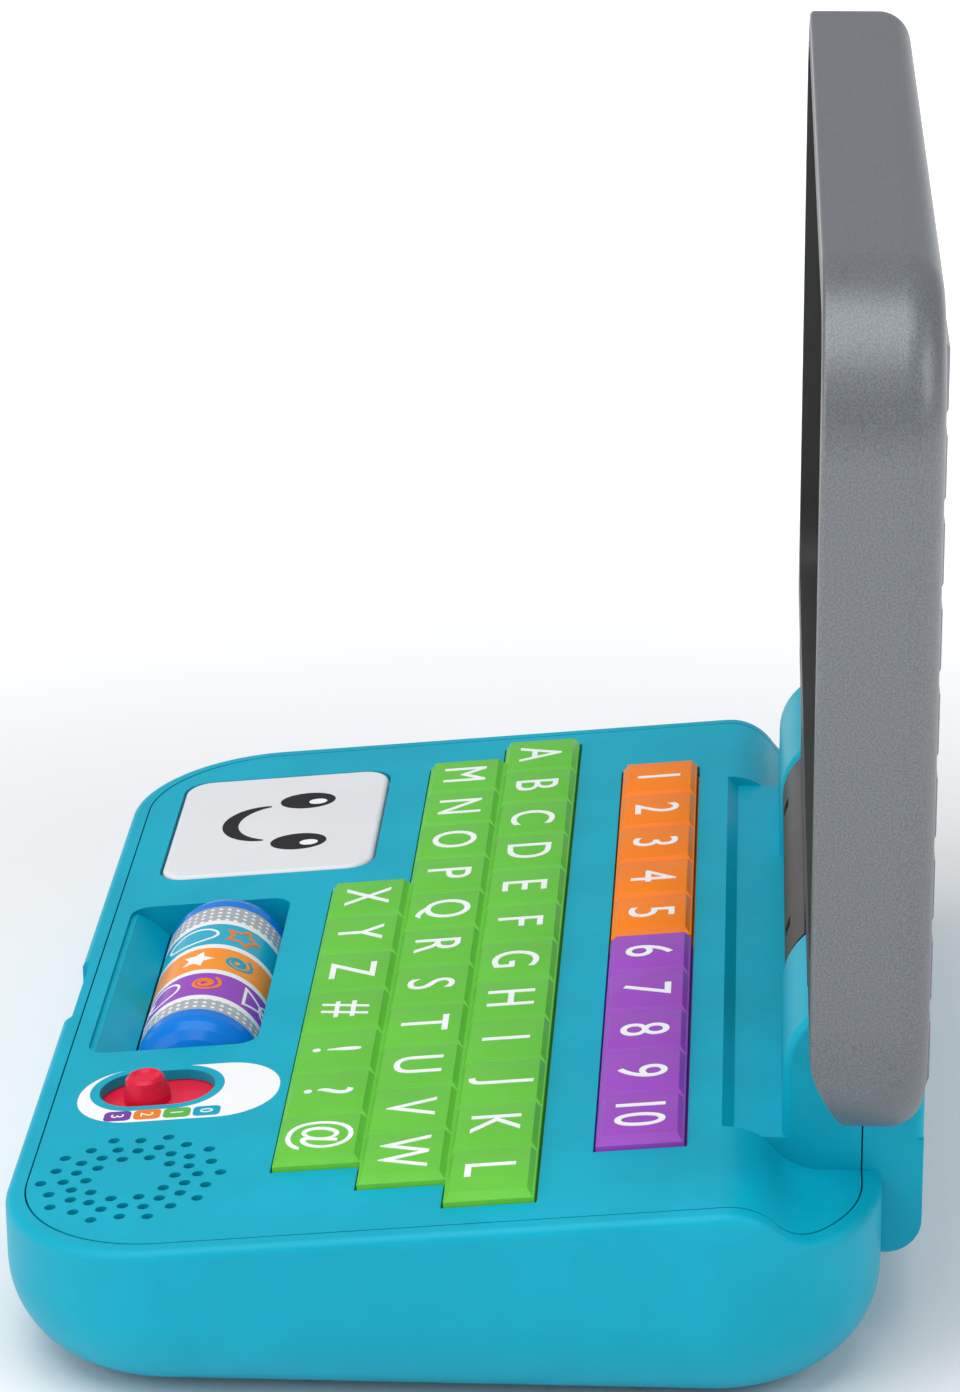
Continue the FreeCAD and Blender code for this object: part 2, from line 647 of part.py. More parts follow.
def key_rows(grow):
    """The letter rows in the deck's frame: (low x, high x, low y, high y)."""
    first = "0 - 6 * keyPitch"
    out = []
    for i, (skipped, count) in enumerate(letter_rows):
        low = f"{first} + {skipped} * keyPitch"
        out.append((
            f"{low} - ({grow})", f"{low} + {count} * keyPitch + {grow}",
            f"rowsStart + {i} * rowPitch - ({grow})", f"rowsStart + {i + 1} * rowPitch + {grow}",
        ))
    return out


def staircase(name, grow, z):
    """All three letter rows as one stepped slab."""
    steps = [
        block(f"{name}_{i}", (x0, x1), (y0, y1), z)
        for i, (x0, x1, y0, y1) in enumerate(key_rows(grow))
    ]
    return fuse(name, *steps)


def number_area(name, side, grow, z):
    """One of the two number plates: side -1 is the lower numbers."""
    near = f"numberGap / 2 - ({grow})"
    far = f"5 * keyPitch + {grow}"
    x = (near, far) if side > 0 else (f"0 - ({far})", f"0 - ({near})")
    return block(name, x, (f"numbersStart - ({grow})", f"numbersStart + numberLength + {grow}"), z)


def face_area(name, grow, z):
    """The face button's outline."""
    return plate(
        name,
        (f"faceX - faceWidth / 2 - ({grow})", f"faceX + faceWidth / 2 + {grow}"),
        (f"faceY - faceLength / 2 - ({grow})", f"faceY + faceLength / 2 + {grow}"),
        z,
        size("faceCorner"),
    )


def well_area(name, grow, z):
    """The roller well's outline."""
    return plate(
        name,
        (f"0 - wellWidth / 2 - ({grow})", f"wellWidth / 2 + {grow}"),
        (f"wellSetback - ({grow})", f"wellSetback + wellLength + {grow}"),
        z,
        size("wellCorner"),
    )


def slot_area(name, grow, z):
    """The slider's slot, with round ends."""
    radius = f"slotWidth / 2 + {grow}"
    low = "slotSetback + slotWidth / 2"
    high = "slotSetback + slotLength - slotWidth / 2"
    return fuse(
        name,
        block(name + "_run", (f"slotX - ({radius})", f"slotX + {radius}"), (low, high), z),
        rod(name + "_near", "z", ("slotX", low), z, radius),
        rod(name + "_far", "z", ("slotX", high), z, radius),
    )


def label_area(name, z):
    """The printed label's outline: a crescent beside the slot, with a bare ring between them."""
    return cut(name, plate(
        name + "_round",
        ("slotX - slotWidth / 2 - labelMargin", "slotX - slotWidth / 2 - labelMargin + labelWidth"),
        ("labelSetback", "labelSetback + labelLength"),
        z,
        size("labelCorner"),
    ), slot_area(name + "_ring", "labelRing", through))


# The speaker's holes: where they stand on even and odd spokes, in rings from the innermost.
grille_spokes = 20
grille_rings = ((0.65, 1.65), (0, 1, 2))


def grille_holes():
    """Holes on the spokes, two and three by turns."""
    holes = []
    for spoke in range(grille_spokes):
        for ring in grille_rings[spoke % 2]:
            radius = f"(grilleFirst + {ring} * grilleStep)"
            turn = f"{spoke * 360 / grille_spokes}"
            middle = (f"speakerX + {radius} * cos({turn})", f"speakerSetback + {radius} * sin({turn})")
            holes.append(rod(f"grille_{spoke}_{len(holes)}", "z", middle, ("0 - 2 * wall", "wall"),
                             "grilleHole"))
    return holes


def roller_rod(name, span, radius):
    return rod(name, "x", ("rollerY", "rollerZ"), span, radius)


def hinge_rod(name, side, low, high, radius):
    """A cylinder on the hinge axis, on one side of the middle."""
    span = (low, high) if side > 0 else (f"0 - ({high})", f"0 - ({low})")
    return rod(name, "x", ("hingeY", "hingeZ"), span, radius)


def both_sides(name, low, high, radius):
    return [hinge_rod(f"{name}_{side}", side, low, high, radius) for side in (-1, 1)]


through = ("0 - 30", "20")


def make_top_shell():
    skin = cut("case_skin_top", outer, hollow)
    deck = common("deck_part", skin, inset_zone("deck_zone", "(rimWidth + seamGap)"))
    axle_way = ("0 - wellWidth / 2 - wellWall - 1", "wellWidth / 2 + wellWall + 1")
    skirt = cut(
        "well_skirt",
        well_area("well_skirt_outside", "wellWall", ("0 - wellDepth", "0 - wall / 2")),
        well_area("well_skirt_inside", "0", ("0 - wellDepth - 1", "1")),
        roller_rod("axle_way", axle_way, "axleRadius + axleRoom"),
        block("axle_way_down", axle_way, ("rollerY - axleRadius - axleRoom", "rollerY + axleRadius + axleRoom"),
              ("rollerZ - wellDepth", "rollerZ")),
    )
    ramp = keystone(
        "well_ramp",
        ("0 - wellWidth / 2 - rampRun - 1", "wellWidth / 2 + rampRun + 1"),
        ("wellSetback - rampRun - 1", "rollerY - rollerRadius - rollerClearance + rampLap"),
        ("0 - wellDepth", "0 - 1"),
        "rampRun",
    )
    ramp_front = common("well_ramp_front", ramp, well_area("well_ramp_limit", "rampSink", through))
    posts = [
        rod(f"post_{i}", "z", place, ("splitHeight", "hingeZ"), "postRadius")
        for i, place in enumerate(screw_places)
    ]
    inside_posts = common("posts_inside", fuse("posts", *posts), hollow)
    openings = fuse(
        "deck_openings",
        staircase("letter_opening", "keyClearance", through),
        number_area("low_number_opening", -1, "keyClearance", through),
        number_area("high_number_opening", 1, "keyClearance", through),
        face_area("face_opening", "keyClearance", through),
        well_area("well_opening", "0", ("0 - wall - 1", "20")),
        slot_area("slot_opening", "0", through),
        label_area("label_recess", ("0 - labelThick", "20")),
        *grille_holes(),
    )
    solid = fuse("deck_with_posts", cut("deck_opened", deck, on_deck(openings)), on_deck(skirt),
                 on_deck(ramp_front), inside_posts)
    pilots = [
        rod(f"pilot_{i}", "z", place, ("splitHeight - 1", "splitHeight + screwBite"), "screwShank")
        for i, place in enumerate(screw_places)
    ]
    bush_holes = both_sides("bush_hole_top", "towerInner - 1", "towerOuter + 1", "bushRadius")
    return node("top_shell", cut("top_shell_cut", solid, *pilots, *bush_holes))


def make_bottom_shell():
    skin = cut("case_skin_bottom", outer, hollow)
    opened = cut("bottom_opened", skin, inset_zone("deck_gap", "rimWidth"))
    columns = [
        rod(f"column_{i}", "z", place, ("footRise", "splitHeight"), "columnRadius")
        for i, place in enumerate(screw_places)
    ]
    notch_x = ("notchMiddle - notchWidth / 2", "notchMiddle + notchWidth / 2")
    notch_backing = block(
        "notch_backing",
        (f"{notch_x[0]} - notchBacking", f"{notch_x[1]} + notchBacking"),
        ("frontY + wall / 2", "frontY + rimWidth + notchDepth / 2"),
        ("frontZ - notchHeight - notchBacking", "frontZ - wall"),
    )
    notch = plate(
        "notch", notch_x, ("frontY - 20", "frontY + notchDepth"),
        ("frontZ - notchHeight", "frontZ + 20"), size("notchCorner"), "z",
    )
    door_opening = plate(
        "door_opening", ("0 - doorHalf - doorGap", "doorHalf + doorGap"),
        ("doorNearY - doorGap", "doorFarY + doorGap"), ("footRise - 1", "footRise + wall + 1"),
        size("doorCorner"),
    )
    door_ledge = cut(
        "door_ledge",
        block("door_ledge_outside", ("0 - doorHalf - ledgeReach", "doorHalf + ledgeReach"),
              ("doorNearY - ledgeReach", "doorFarY + ledgeReach"),
              ("footRise + wall", "footRise + wall + ledgeThick")),
        block("door_ledge_inside", ("ledgeLap - doorHalf", "doorHalf - ledgeLap"),
              ("doorNearY + ledgeLap", "doorFarY - ledgeLap"),
              ("footRise", "footRise + wall + ledgeThick + 1")),
    )
    solid = fuse("bottom_with_columns", opened, notch_backing, *columns)
    wells = [
        rod(f"screw_well_{i}", "z", place, ("footRise - 1", "footRise + screwWell"), "screwHead + headPlay")
        for i, place in enumerate(screw_places)
    ]
    shanks = [
        rod(f"screw_hole_{i}", "z", place, ("footRise", "splitHeight + 1"), "screwShank + shankPlay")
        for i, place in enumerate(screw_places)
    ]
    bush_holes = both_sides("bush_hole_bottom", "towerInner - 1", "towerOuter + 1", "bushRadius")
    shell = cut("bottom_shell_cut", solid, notch, door_opening, *wells, *shanks, *bush_holes)
    return node("bottom_shell", fuse("bottom_shell_joined", shell, door_ledge))


def make_door():
    door = plate(
        "door_plate", ("0 - doorHalf", "doorHalf"), ("doorNearY", "doorFarY"),
        ("footRise", "footRise + wall"), size("doorCorner"),
    )
    place = ("0", "doorFarY - doorScrewInset")
    screw_hole = rod("door_screw_hole", "z", place, ("footRise - 1", "footRise + wall + 1"),
                     "screwShank + shankPlay")
    countersink = rod("door_screw_sink", "z", place, ("footRise - 1", "footRise + doorScrewSink"),
                      "screwHead + headPlay")
    node("battery_door", cut("battery_door_cut", door, screw_hole, countersink))
    node("battery_door_screw", turned("door_screw", "z", (*place, "footRise"), (
        ("0", "headPlay"), ("screwHead", "headPlay"), ("screwHead", "doorScrewSink"),
        ("screwShank", "doorScrewSink"), ("screwShank", "doorScrewLength"),
        ("0", "doorScrewLength + screwTip"),
    )))


def make_battery_box():
    floor = "footRise + wall + ledgeThick"
    high = f"{floor} + boxHeight"
    half = "1.5 * batteryPitch + boxSideRoom"
    long_half = "batteryLength / 2 + boxEndRoom"
    middle = "((doorNearY + doorFarY) / 2 - doorScrewInset)"
    box = cut(
        "battery_box_cut",
        block("battery_box_outside", (f"0 - ({long_half}) - boxWall", f"{long_half} + boxWall"),
              (f"{middle} - ({half}) - boxWall", f"{middle} + {half} + boxWall"), (floor, f"{high} + boxWall")),
        block("battery_box_inside", (f"0 - ({long_half})", long_half),
              (f"{middle} - ({half})", f"{middle} + {half}"), (f"{floor} - 1", high)),
    )
    node("battery_box", box)
    contacts = []
    for i in range(3):
        shift = f"{middle} + {i - 1} * batteryPitch"
        way = 1 if i % 2 == 0 else -1
        start = f"0 - ({way}) * batteryLength / 2"
        battery = turned(f"cell_{i + 1}", "x", (start, shift, f"{floor} + batteryGap + batteryRadius"), (
            ("0", "0"), ("batteryRadius", "0"), ("batteryRadius", "batteryLength"),
            ("nubRadius", "batteryLength"), ("nubRadius", "batteryLength + batteryNub"),
            ("0", "batteryLength + batteryNub"),
        ))
        if way < 0:
            battery.Placement = FreeCAD.Placement(Vector(), FreeCAD.Rotation(Vector(0, 1, 0), -90))
        node(f"battery_{i + 1}", battery)
        for side in (-1, 1):
            near = "batteryLength / 2 + contactGap"
            far = f"{near} + contactThick"
            x = (near, far) if side > 0 else (f"0 - ({far})", f"0 - ({near})")
            contacts.append(block(f"contact_{i}_{side}", x, (f"{shift} - contactHalf", f"{shift} + contactHalf"),
                                  (f"{floor} + contactLow", f"{floor} + contactHigh")))
    node("battery_contacts", group("battery_contact_plates", *contacts))


def make_screws_and_feet():
    reach = "splitHeight + screwBite - footRise - screwWell"
    screws = [
        turned(f"case_screw_{i}", "z", (x, y, "footRise + screwWell - headHeight"), (
            ("0", "0"), ("screwHead", "0"), ("screwHead", "headHeight"), ("screwShank", "headHeight"),
            ("screwShank", f"{reach} - screwTip"), ("0", reach),
        ))
        for i, (x, y) in enumerate(screw_places)
    ]
    node("case_screws", group("case_screw_set", *screws))
    feet = []
    for side in (-1, 1):
        for y in ("frontY + footInset", "caseBack - footInset"):
            feet.append(turned(f"foot_{side}_{len(feet)}", "z", (f"{side} * (halfWidth - footInset)", y, "0"), (
                ("0", "0"), ("footRadius - footTaper", "0"), ("footRadius", "footRise"), ("0", "footRise"),
            )))
    node("rubber_feet", group("foot_set", *feet))


# The key plates, their domes and the circuit board.

def key_caps(name, x0, y0, count, length):
    """Bevelled key tops in a row."""
    caps = []
    for i in range(count):
        caps.append(keystone(
            f"{name}_{i}",
            (f"{x0} + {i} * keyPitch + keyGroove / 2", f"{x0} + {i + 1} * keyPitch - keyGroove / 2"),
            (f"{y0} + keyGroove / 2", f"{y0} + {length} - keyGroove / 2"),
            ("keyRise - capHeight", "keyRise"),
            "keyBevel",
        ))
    return caps


plate_level = ("0 - wall - underGap - flangeThick", "keyRise - capHeight")
flange_level = ("0 - wall - underGap - flangeThick", "0 - wall - underGap")


def make_letter_keypad():
    pieces = [
        staircase("letter_plate", "0", plate_level),
        staircase("letter_flange", "keyClearance + flangeWidth", flange_level),
    ]
    for i, (x0, x1, y0, y1) in enumerate(key_rows("0")):
        pieces += key_caps(f"letter_row_{i}", x0, y0, letter_rows[i][1], "rowPitch")
    node("letter_keypad", on_deck(fuse("letter_keypad_joined", *pieces)))


def make_number_plate(name, side):
    low = "numberGap / 2" if side > 0 else "0 - 5 * keyPitch"
    high = "5 * keyPitch" if side > 0 else "0 - numberGap / 2"
    flange = block(
        name + "_flange", (low, high),
        ("numbersStart - keyClearance - flangeWidth",
         "numbersStart + numberLength + keyClearance + flangeWidth"),
        flange_level,
    )
    pieces = [number_area(name + "_slab", side, "0", plate_level), flange]
    for i in range(5):
        near = f"numberGap / 2 + {i} * (keyPitch - numberGap / 10)"
        far = f"numberGap / 2 + {i + 1} * (keyPitch - numberGap / 10)"
        x = (near, far) if side > 0 else (f"0 - ({far})", f"0 - ({near})")
        pieces.append(keystone(
            f"{name}_cap_{i}", (f"{x[0]} + keyGroove / 2", f"{x[1]} - keyGroove / 2"),
            ("numbersStart + keyGroove / 2", "numbersStart + numberLength - keyGroove / 2"),
            ("keyRise - capHeight", "keyRise"), "keyBevel",
        ))
    node(name, on_deck(fuse(name + "_joined", *pieces)))


def make_dome_mats():
    top = ("matTop - matThick", "matTop")
    letter_domes = []
    for i, (x0, x1, y0, y1) in enumerate(key_rows("0")):
        for end in (f"{x0} + 1.5 * keyPitch", f"({x0} + {x1}) / 2", f"{x1} - 1.5 * keyPitch"):
            letter_domes.append(rod(f"letter_dome_{len(letter_domes)}", "z", (end, f"({y0} + {y1}) / 2"),
                                    ("matTop - matThick", "matTop + domeHeight"), "domeRadius"))
    mat = staircase("letter_mat_slab", "0", top)
    node("letter_dome_mat", on_deck(fuse("letter_mat_joined", mat, *letter_domes)))
    pieces = [block("number_mat_slab", ("0 - 5 * keyPitch", "5 * keyPitch"),
                    ("numbersStart", "numbersStart + numberLength"), top)]
    for side in (-1, 1):
        for key in (1, 4):
            pieces.append(rod(f"number_dome_{side}_{key}", "z",
                              (f"{side} * {key} * keyPitch", "numbersStart + numberLength / 2"),
                              ("matTop - matThick", "matTop + domeHeight"), "domeRadius"))
    node("number_dome_mat", on_deck(fuse("number_mat_joined", *pieces)))


# The chips under the main board: x, y from the letter rows, half width, height.
chips_at = ((-20, 30, 5, 1.6), (30, 24, 3.5, 1.2), (52, 46, 3, 4))


def make_boards():
    level = ("boardTop - boardThick", "boardTop")
    board = block("main_board_slab", ("0 - boardKeys * keyPitch", "boardKeys * keyPitch"),
                  ("rowsStart + boardSetback", "numbersStart + numberLength"), level)
    openings = [
        rod(f"board_hole_{i}", "z", (x, f"({y} - frontY) / cos(deckTilt)"), ("boardTop - 10", "boardTop + 10"),
            "columnRadius + boardHoleGap")
        for i, (x, y) in enumerate(screw_places)
    ]
    node("main_board", on_deck(cut("main_board_cut", board, *openings)))
    chips = [
        block(f"chip_{i}", (f"{x} - {w}", f"{x} + {w}"), (f"rowsStart + {y} - {w}", f"rowsStart + {y} + {w}"),
              (f"boardTop - boardThick - {tall}", "boardTop - boardThick"))
        for i, (x, y, w, tall) in enumerate(chips_at)
    ]
    node("board_chips", on_deck(group("chip_set", *chips)))


def make_face_button():
    under = "faceRise - faceThick"
    button = fuse(
        "face_button_joined",
        rounded("face_plate_soft", face_area("face_plate", "0", (under, "faceRise")),
                size("faceSoft"), at_level("z", size("faceRise"))),
        face_area("face_stem", "0", ("0 - wall - underGap - flangeThick", under)),
        face_area("face_flange", "keyClearance + flangeWidth", flange_level),
    )
    node("face_button", on_deck(button))
    low = "0 - wall - underGap - flangeThick - keyTravel - underGap"
    dome = turned("face_dome_turned", "z", ("faceX", "faceY", f"{low} - faceDomeHeight"), (
        ("0", "faceDomeWall"), ("faceDomeFoot - 2 * faceDomeWall", "faceDomeWall"),
        ("faceDomeFoot - faceDomeWall", "0"), ("faceDomeFoot", "0"),
        ("faceDomeTop", "faceDomeHeight"), ("0", "faceDomeHeight"),
    ))
    carrier = group("face_dome_frame", dome)
    node("face_button_dome", on_deck(carrier))
    half = "(faceWidth / 2 - faceBoardInset)"
    long_half = "(faceLength / 2 - faceBoardInset)"
    board = block("face_board_slab", (f"faceX - {half}", f"faceX + {half}"),
                  (f"faceY - {long_half}", f"faceY + {long_half}"),
                  (f"{low} - faceDomeHeight - boardThick", f"{low} - faceDomeHeight"))
    node("face_light_board", on_deck(board))


# The printed roller and its cradle.

def roller_cap(side):
    """A cap that fits the drum's end and closes in a dome worked out in short steps."""
    steps = 6
    profile = [("axleRadius", "0"), ("rollerRadius", "0"), ("rollerRadius", "capLength * capStraight")]
    for step in range(1, steps):
        angle = 90 * step / steps
        profile.append((
            f"axleRadius + (rollerRadius - axleRadius) * cos({angle})",
            f"capLength * (capStraight + (1 - capStraight) * sin({angle}))",
        ))
    profile.append(("axleRadius", "capLength"))
    name = "right" if side > 0 else "left"
    cap = turned(f"cap_{name}", "x", (f"{side} * rollerHalf", "rollerY", "rollerZ"), tuple(profile))
    if side < 0:
        cap.Placement = FreeCAD.Placement(Vector(), FreeCAD.Rotation(Vector(0, 1, 0), -90))
    node(f"roller_cap_{name}", on_deck(group(f"cap_frame_{name}", cap)))


def make_roller():
    span = ("0 - rollerHalf", "rollerHalf")
    drum = cut("drum_hollow", roller_rod("drum_outside", span, "rollerRadius - sleeveThick"),
               roller_rod("drum_inside", ("drumEnd - rollerHalf", "rollerHalf - drumEnd"),
                          "rollerRadius - sleeveThick - drumWall"),
               roller_rod("drum_bore", ("0 - rollerHalf - 1", "rollerHalf + 1"), "axleRadius"))
    node("roller_drum", on_deck(drum))
    sleeve = cut("sleeve_ring", roller_rod("sleeve_outside", span, "rollerRadius"),
                 roller_rod("sleeve_inside", ("0 - rollerHalf - 1", "rollerHalf + 1"),
                            "rollerRadius - sleeveThick"))
    node("roller_sleeve", on_deck(sleeve))
    for side in (-1, 1):
        roller_cap(side)
    reach = "wellWidth / 2 + cradleWall + 1"
    node("roller_axle", on_deck(roller_rod("axle", (f"0 - ({reach})", reach), "axleRadius")))


def make_cradle():
    half = "wellWidth / 2 + cradleWall"
    radius = "rollerRadius + rollerClearance"
    trough = cut(
        "cradle_trough",
        roller_rod("trough_outside", (f"0 - ({half})", half), f"{radius} + cradleWall"),
        roller_rod("trough_inside", ("0 - wellWidth / 2", "wellWidth / 2"), radius),
        block("trough_top", (f"0 - ({half}) - 1", f"{half} + 1"), ("0", "wellSetback + wellLength + 20"),
              ("0 - wellDepth", "20")),
    )
    lip = cut(
        "cradle_lip",
        well_area("cradle_lip_outside", "wellWall", ("0 - wellDepth - cradleLip", "0 - wellDepth")),
        roller_rod("cradle_lip_inside", ("0 - wellWidth / 2", "wellWidth / 2"), radius),
    )
    bores = roller_rod("axle_bores", (f"0 - ({half}) - 1", f"{half} + 1"), "axleRadius + runningFit")
    node("roller_cradle", on_deck(cut("roller_cradle_cut", fuse("cradle_joined", trough, lip), bores)))


# The slider, its label and switch.

def make_slider():
    node("slider_label", on_deck(label_area("label_sheet", ("0 - labelThick", "0"))))
    plate_top = "0 - wall - underGap"
    top = "wall + underGap + knobRise"
    knob = fuse(
        "slider_knob_joined",
        turned("knob_thimble", "z", ("slotX", "knobY", plate_top), (
            ("0", "0"), ("knobRadius", "0"), ("knobRadius", "knobSkirt"), ("knobTop", f"{top} - knobChamfer"),
            ("knobTop - knobChamfer", top), ("knobDish", top),
            ("knobDish - dishSlope", f"{top} - dishDepth"), ("0", f"{top} - dishDepth"),
        )),
        block("knob_foot", ("slotX - slotWidth / 2 - sheetLap", "slotX + slotWidth / 2 + sheetLap"),
              ("knobY - knobPlateHalf", "knobY + knobPlateHalf"), (f"{plate_top} - sheetThick", plate_top)),
        block("knob_tongue", ("slotX - tongueHalf", "slotX + tongueHalf"),
              ("knobY - tongueLength / 2", "knobY + tongueLength / 2"),
              (f"{plate_top} - tongueDepth", plate_top)),
    )
    node("slider_knob", on_deck(knob))
    backing = cut(
        "switch_frame",
        block("switch_block", ("slotX - slotWidth / 2 - switchMargin", "slotX + slotWidth / 2 + switchMargin"),
              ("slotSetback - switchReach", "slotSetback + slotLength + switchReach"),
              (f"{plate_top} - switchDepth", f"{plate_top} - sheetThick - underGap")),
        block("switch_groove", ("slotX - grooveHalf", "slotX + grooveHalf"),
              ("slotSetback - grooveReach", "slotSetback + slotLength + grooveReach"),
              (f"{plate_top} - grooveDepth", "5")),
    )
    node("slider_switch", on_deck(backing))


def make_speaker():
    place = ("speakerX", "speakerSetback", "0 - wall - speakerDepth")
    basket = turned("basket_turned", "z", place, (
        ("0", "0"), ("magnetRadius", "0"), ("magnetRadius", "magnetHeight"), ("speakerRadius - 5", "10"),
        ("speakerRadius - 2", "speakerDepth - 2"),
        ("speakerRadius", "speakerDepth - 2"), ("speakerRadius", "speakerDepth"),
        ("speakerRadius - 3", "speakerDepth"), ("speakerRadius - 3", "speakerDepth - 1"),
        ("speakerRadius - 6", "speakerDepth - 4"), ("10", "6"), ("0", "6"),
    ))
    node("speaker_basket", on_deck(group("basket_frame", basket)))
    cone = turned("cone_turned", "z", place, (
        ("0", "magnetHeight"), ("9", "magnetHeight"), ("speakerRadius - 7.5", "speakerDepth - 3"),
        ("speakerRadius - 4", "speakerDepth - 1.2"),
        ("speakerRadius - 7", "speakerDepth - 1.2"), ("8", "9"), ("0", "10"),
    ))
    node("speaker_cone", on_deck(group("cone_frame", cone)))
    ring = turned("clamp_turned", "z", place, (
        ("speakerRadius + 0.2", "speakerDepth - 4"), ("speakerRadius + 2", "speakerDepth - 4"),
        ("speakerRadius + 2", "speakerDepth"), ("speakerRadius + 0.2", "speakerDepth"),
    ))
    node("speaker_ring", on_deck(group("clamp_frame", ring)))


# The lid.

def lid_slab(name, inset, y, back_round):
    """The lid's rounded outline, with a rounding round its back."""
    slab = plate(
        name,
        (f"{inset} - lidHalf", f"lidHalf - ({inset})"), y,
        (f"lidBottom + {inset}", f"lidTop - ({inset})"),
        back_round["corner"], "y",
    )
    if back_round["round"] <= 0:
        return slab
    doc.recompute()
    return rounded(name + "_rolled", slab, back_round["round"], at_level("y", slab.Shape.BoundBox.YMax))


def back_pads():
    """Shallow raised pads in a grid on the lid's back."""
    pads = []
    columns = 8
    rows = 9
    for column in range(columns):
        for row in range(rows):
            x = f"({column - columns / 2}) * padPitchX"
            z = f"(lidBottom + lidTop) / 2 + ({row - rows / 2}) * padPitchZ"
            pad = doc.addObject("Part::Wedge", f"pad_{column}_{row}")
            bind(pad, "Xmin", f"{x} + padGroove / 2")
            bind(pad, "Xmax", f"{x} + padPitchX - padGroove / 2")
            bind(pad, "X2min", f"{x} + padGroove / 2 + padSlope * padRise")
            bind(pad, "X2max", f"{x} + padPitchX - padGroove / 2 - padSlope * padRise")
            bind(pad, "Ymin", "lidBack - padSink")
            bind(pad, "Ymax", "lidBack + padRise")
            bind(pad, "Zmin", f"{z} + padGroove / 2")
            bind(pad, "Zmax", f"{z} + padPitchZ - padGroove / 2")
            bind(pad, "Z2min", f"{z} + padGroove / 2 + padSlope * padRise")
            bind(pad, "Z2max", f"{z} + padPitchZ - padGroove / 2 - padSlope * padRise")
            pads.append(pad)
    return pads


def ear_outline(skin):
    """The profile of the lid's ears in Y and Z: down the front, back along an arc and a straight run
    to a round tip under the hinge, then up towards the lid's back."""
    turn = math.radians(size("earTurn"))
    slope = math.radians(size("earSlope"))
    start = size("lidBottom") + size("earRise")
    bend = Vector(0, size("lidFront") + size("earBend"), start)
    outwards = Vector(0, -math.cos(turn), -math.sin(turn))
    downwards = Vector(0, math.sin(turn), -math.cos(turn))
    inner = bend + outwards * (size("earBend") - size("earTip"))
    run = (inner.z - size("lidBottom") - size("earTip")) / math.cos(turn)
    tip = inner + downwards * run
    under = Vector(0, math.sin(slope), -math.cos(slope))
    half_way = (outwards + under).normalize()
    round_tip = size("earTip") - skin
    turned_out = Vector(0, -math.cos(turn / 2), -math.sin(turn / 2))
    front = bend + Vector(0, skin - size("earBend"), 0)
    arc_end = bend + outwards * (size("earBend") - skin)
    tip_start = tip + outwards * round_tip
    tip_end = tip + under * round_tip
    reach = (size("lidBack") + 10 - tip_end.y) / math.cos(slope)
    back = tip_end + Vector(0, math.cos(slope), math.sin(slope)) * reach
    top = Vector(0, back.y, start)
    return Part.Wire([
        Part.Arc(front, bend + turned_out * (size("earBend") - skin), arc_end).toShape(),
        Part.LineSegment(arc_end, tip_start).toShape(),
        Part.Arc(tip_start, tip + half_way * round_tip, tip_end).toShape(),
        Part.LineSegment(tip_end, back).toShape(),
        Part.LineSegment(back, top).toShape(),
        Part.LineSegment(top, front).toShape(),
    ])


def beyond_ears(skin):
    """What the lid's two lower corners leave out, past the outer ends of the towers."""
    near = size("towerOuter") + size("hingeSideGap")
    length = size("lidHalf") + 5 - near
    low = size("lidBottom") - 5
    block_round = Part.makeBox(
        length, size("lidThick") + 10, size("lidBottom") + size("earRise") - low,
        Vector(near, size("lidFront") - 5, low),
    )
    ear = Part.Face(ear_outline(skin))
    ear.translate(Vector(near - 1, 0, 0))
    corner = block_round.cut(ear.extrude(Vector(length + 2, 0, 0)))
    return Part.makeCompound([corner, corner.mirror(Vector(), Vector(1, 0, 0))])


def ear_blocks(name, gap):
    """The zones of the two ears, over the front panel's depth."""
    return [
        block(f"{name}_{side}",
              (f"towerOuter + hingeSideGap - ({gap})", "lidHalf + 5") if side > 0
              else ("0 - lidHalf - 5", f"{gap} - towerOuter - hingeSideGap"),
              ("lidFront - 2", "lidFront + screenDepth"), ("lidBottom - 5", f"lidBottom + earRise + {gap}"))
        for side in (-1, 1)
    ]


def shut_room(name, low, high, grow):
    """Room in front of each tower, up to a flat ceiling, for when the lid is shut."""
    blocks = []
    for side in (-1, 1):
        x = (low, high) if side > 0 else (f"0 - ({high})", f"0 - ({low})")
        blocks.append(block(f"{name}_{side}", x, ("lidFront - 1", "hingeY"),
                            ("hingeZ", f"hingeZ + towerRadius + towerGap + shutRoom + {grow}")))
    return blocks


lid_screws_at = [
    (f"{side} * ({inward})", "screenLow - lidScrewDrop")
    for side in (-1, 1) for inward in ("lidHalf - lidScrewInset", "lidScrewMiddle")
]


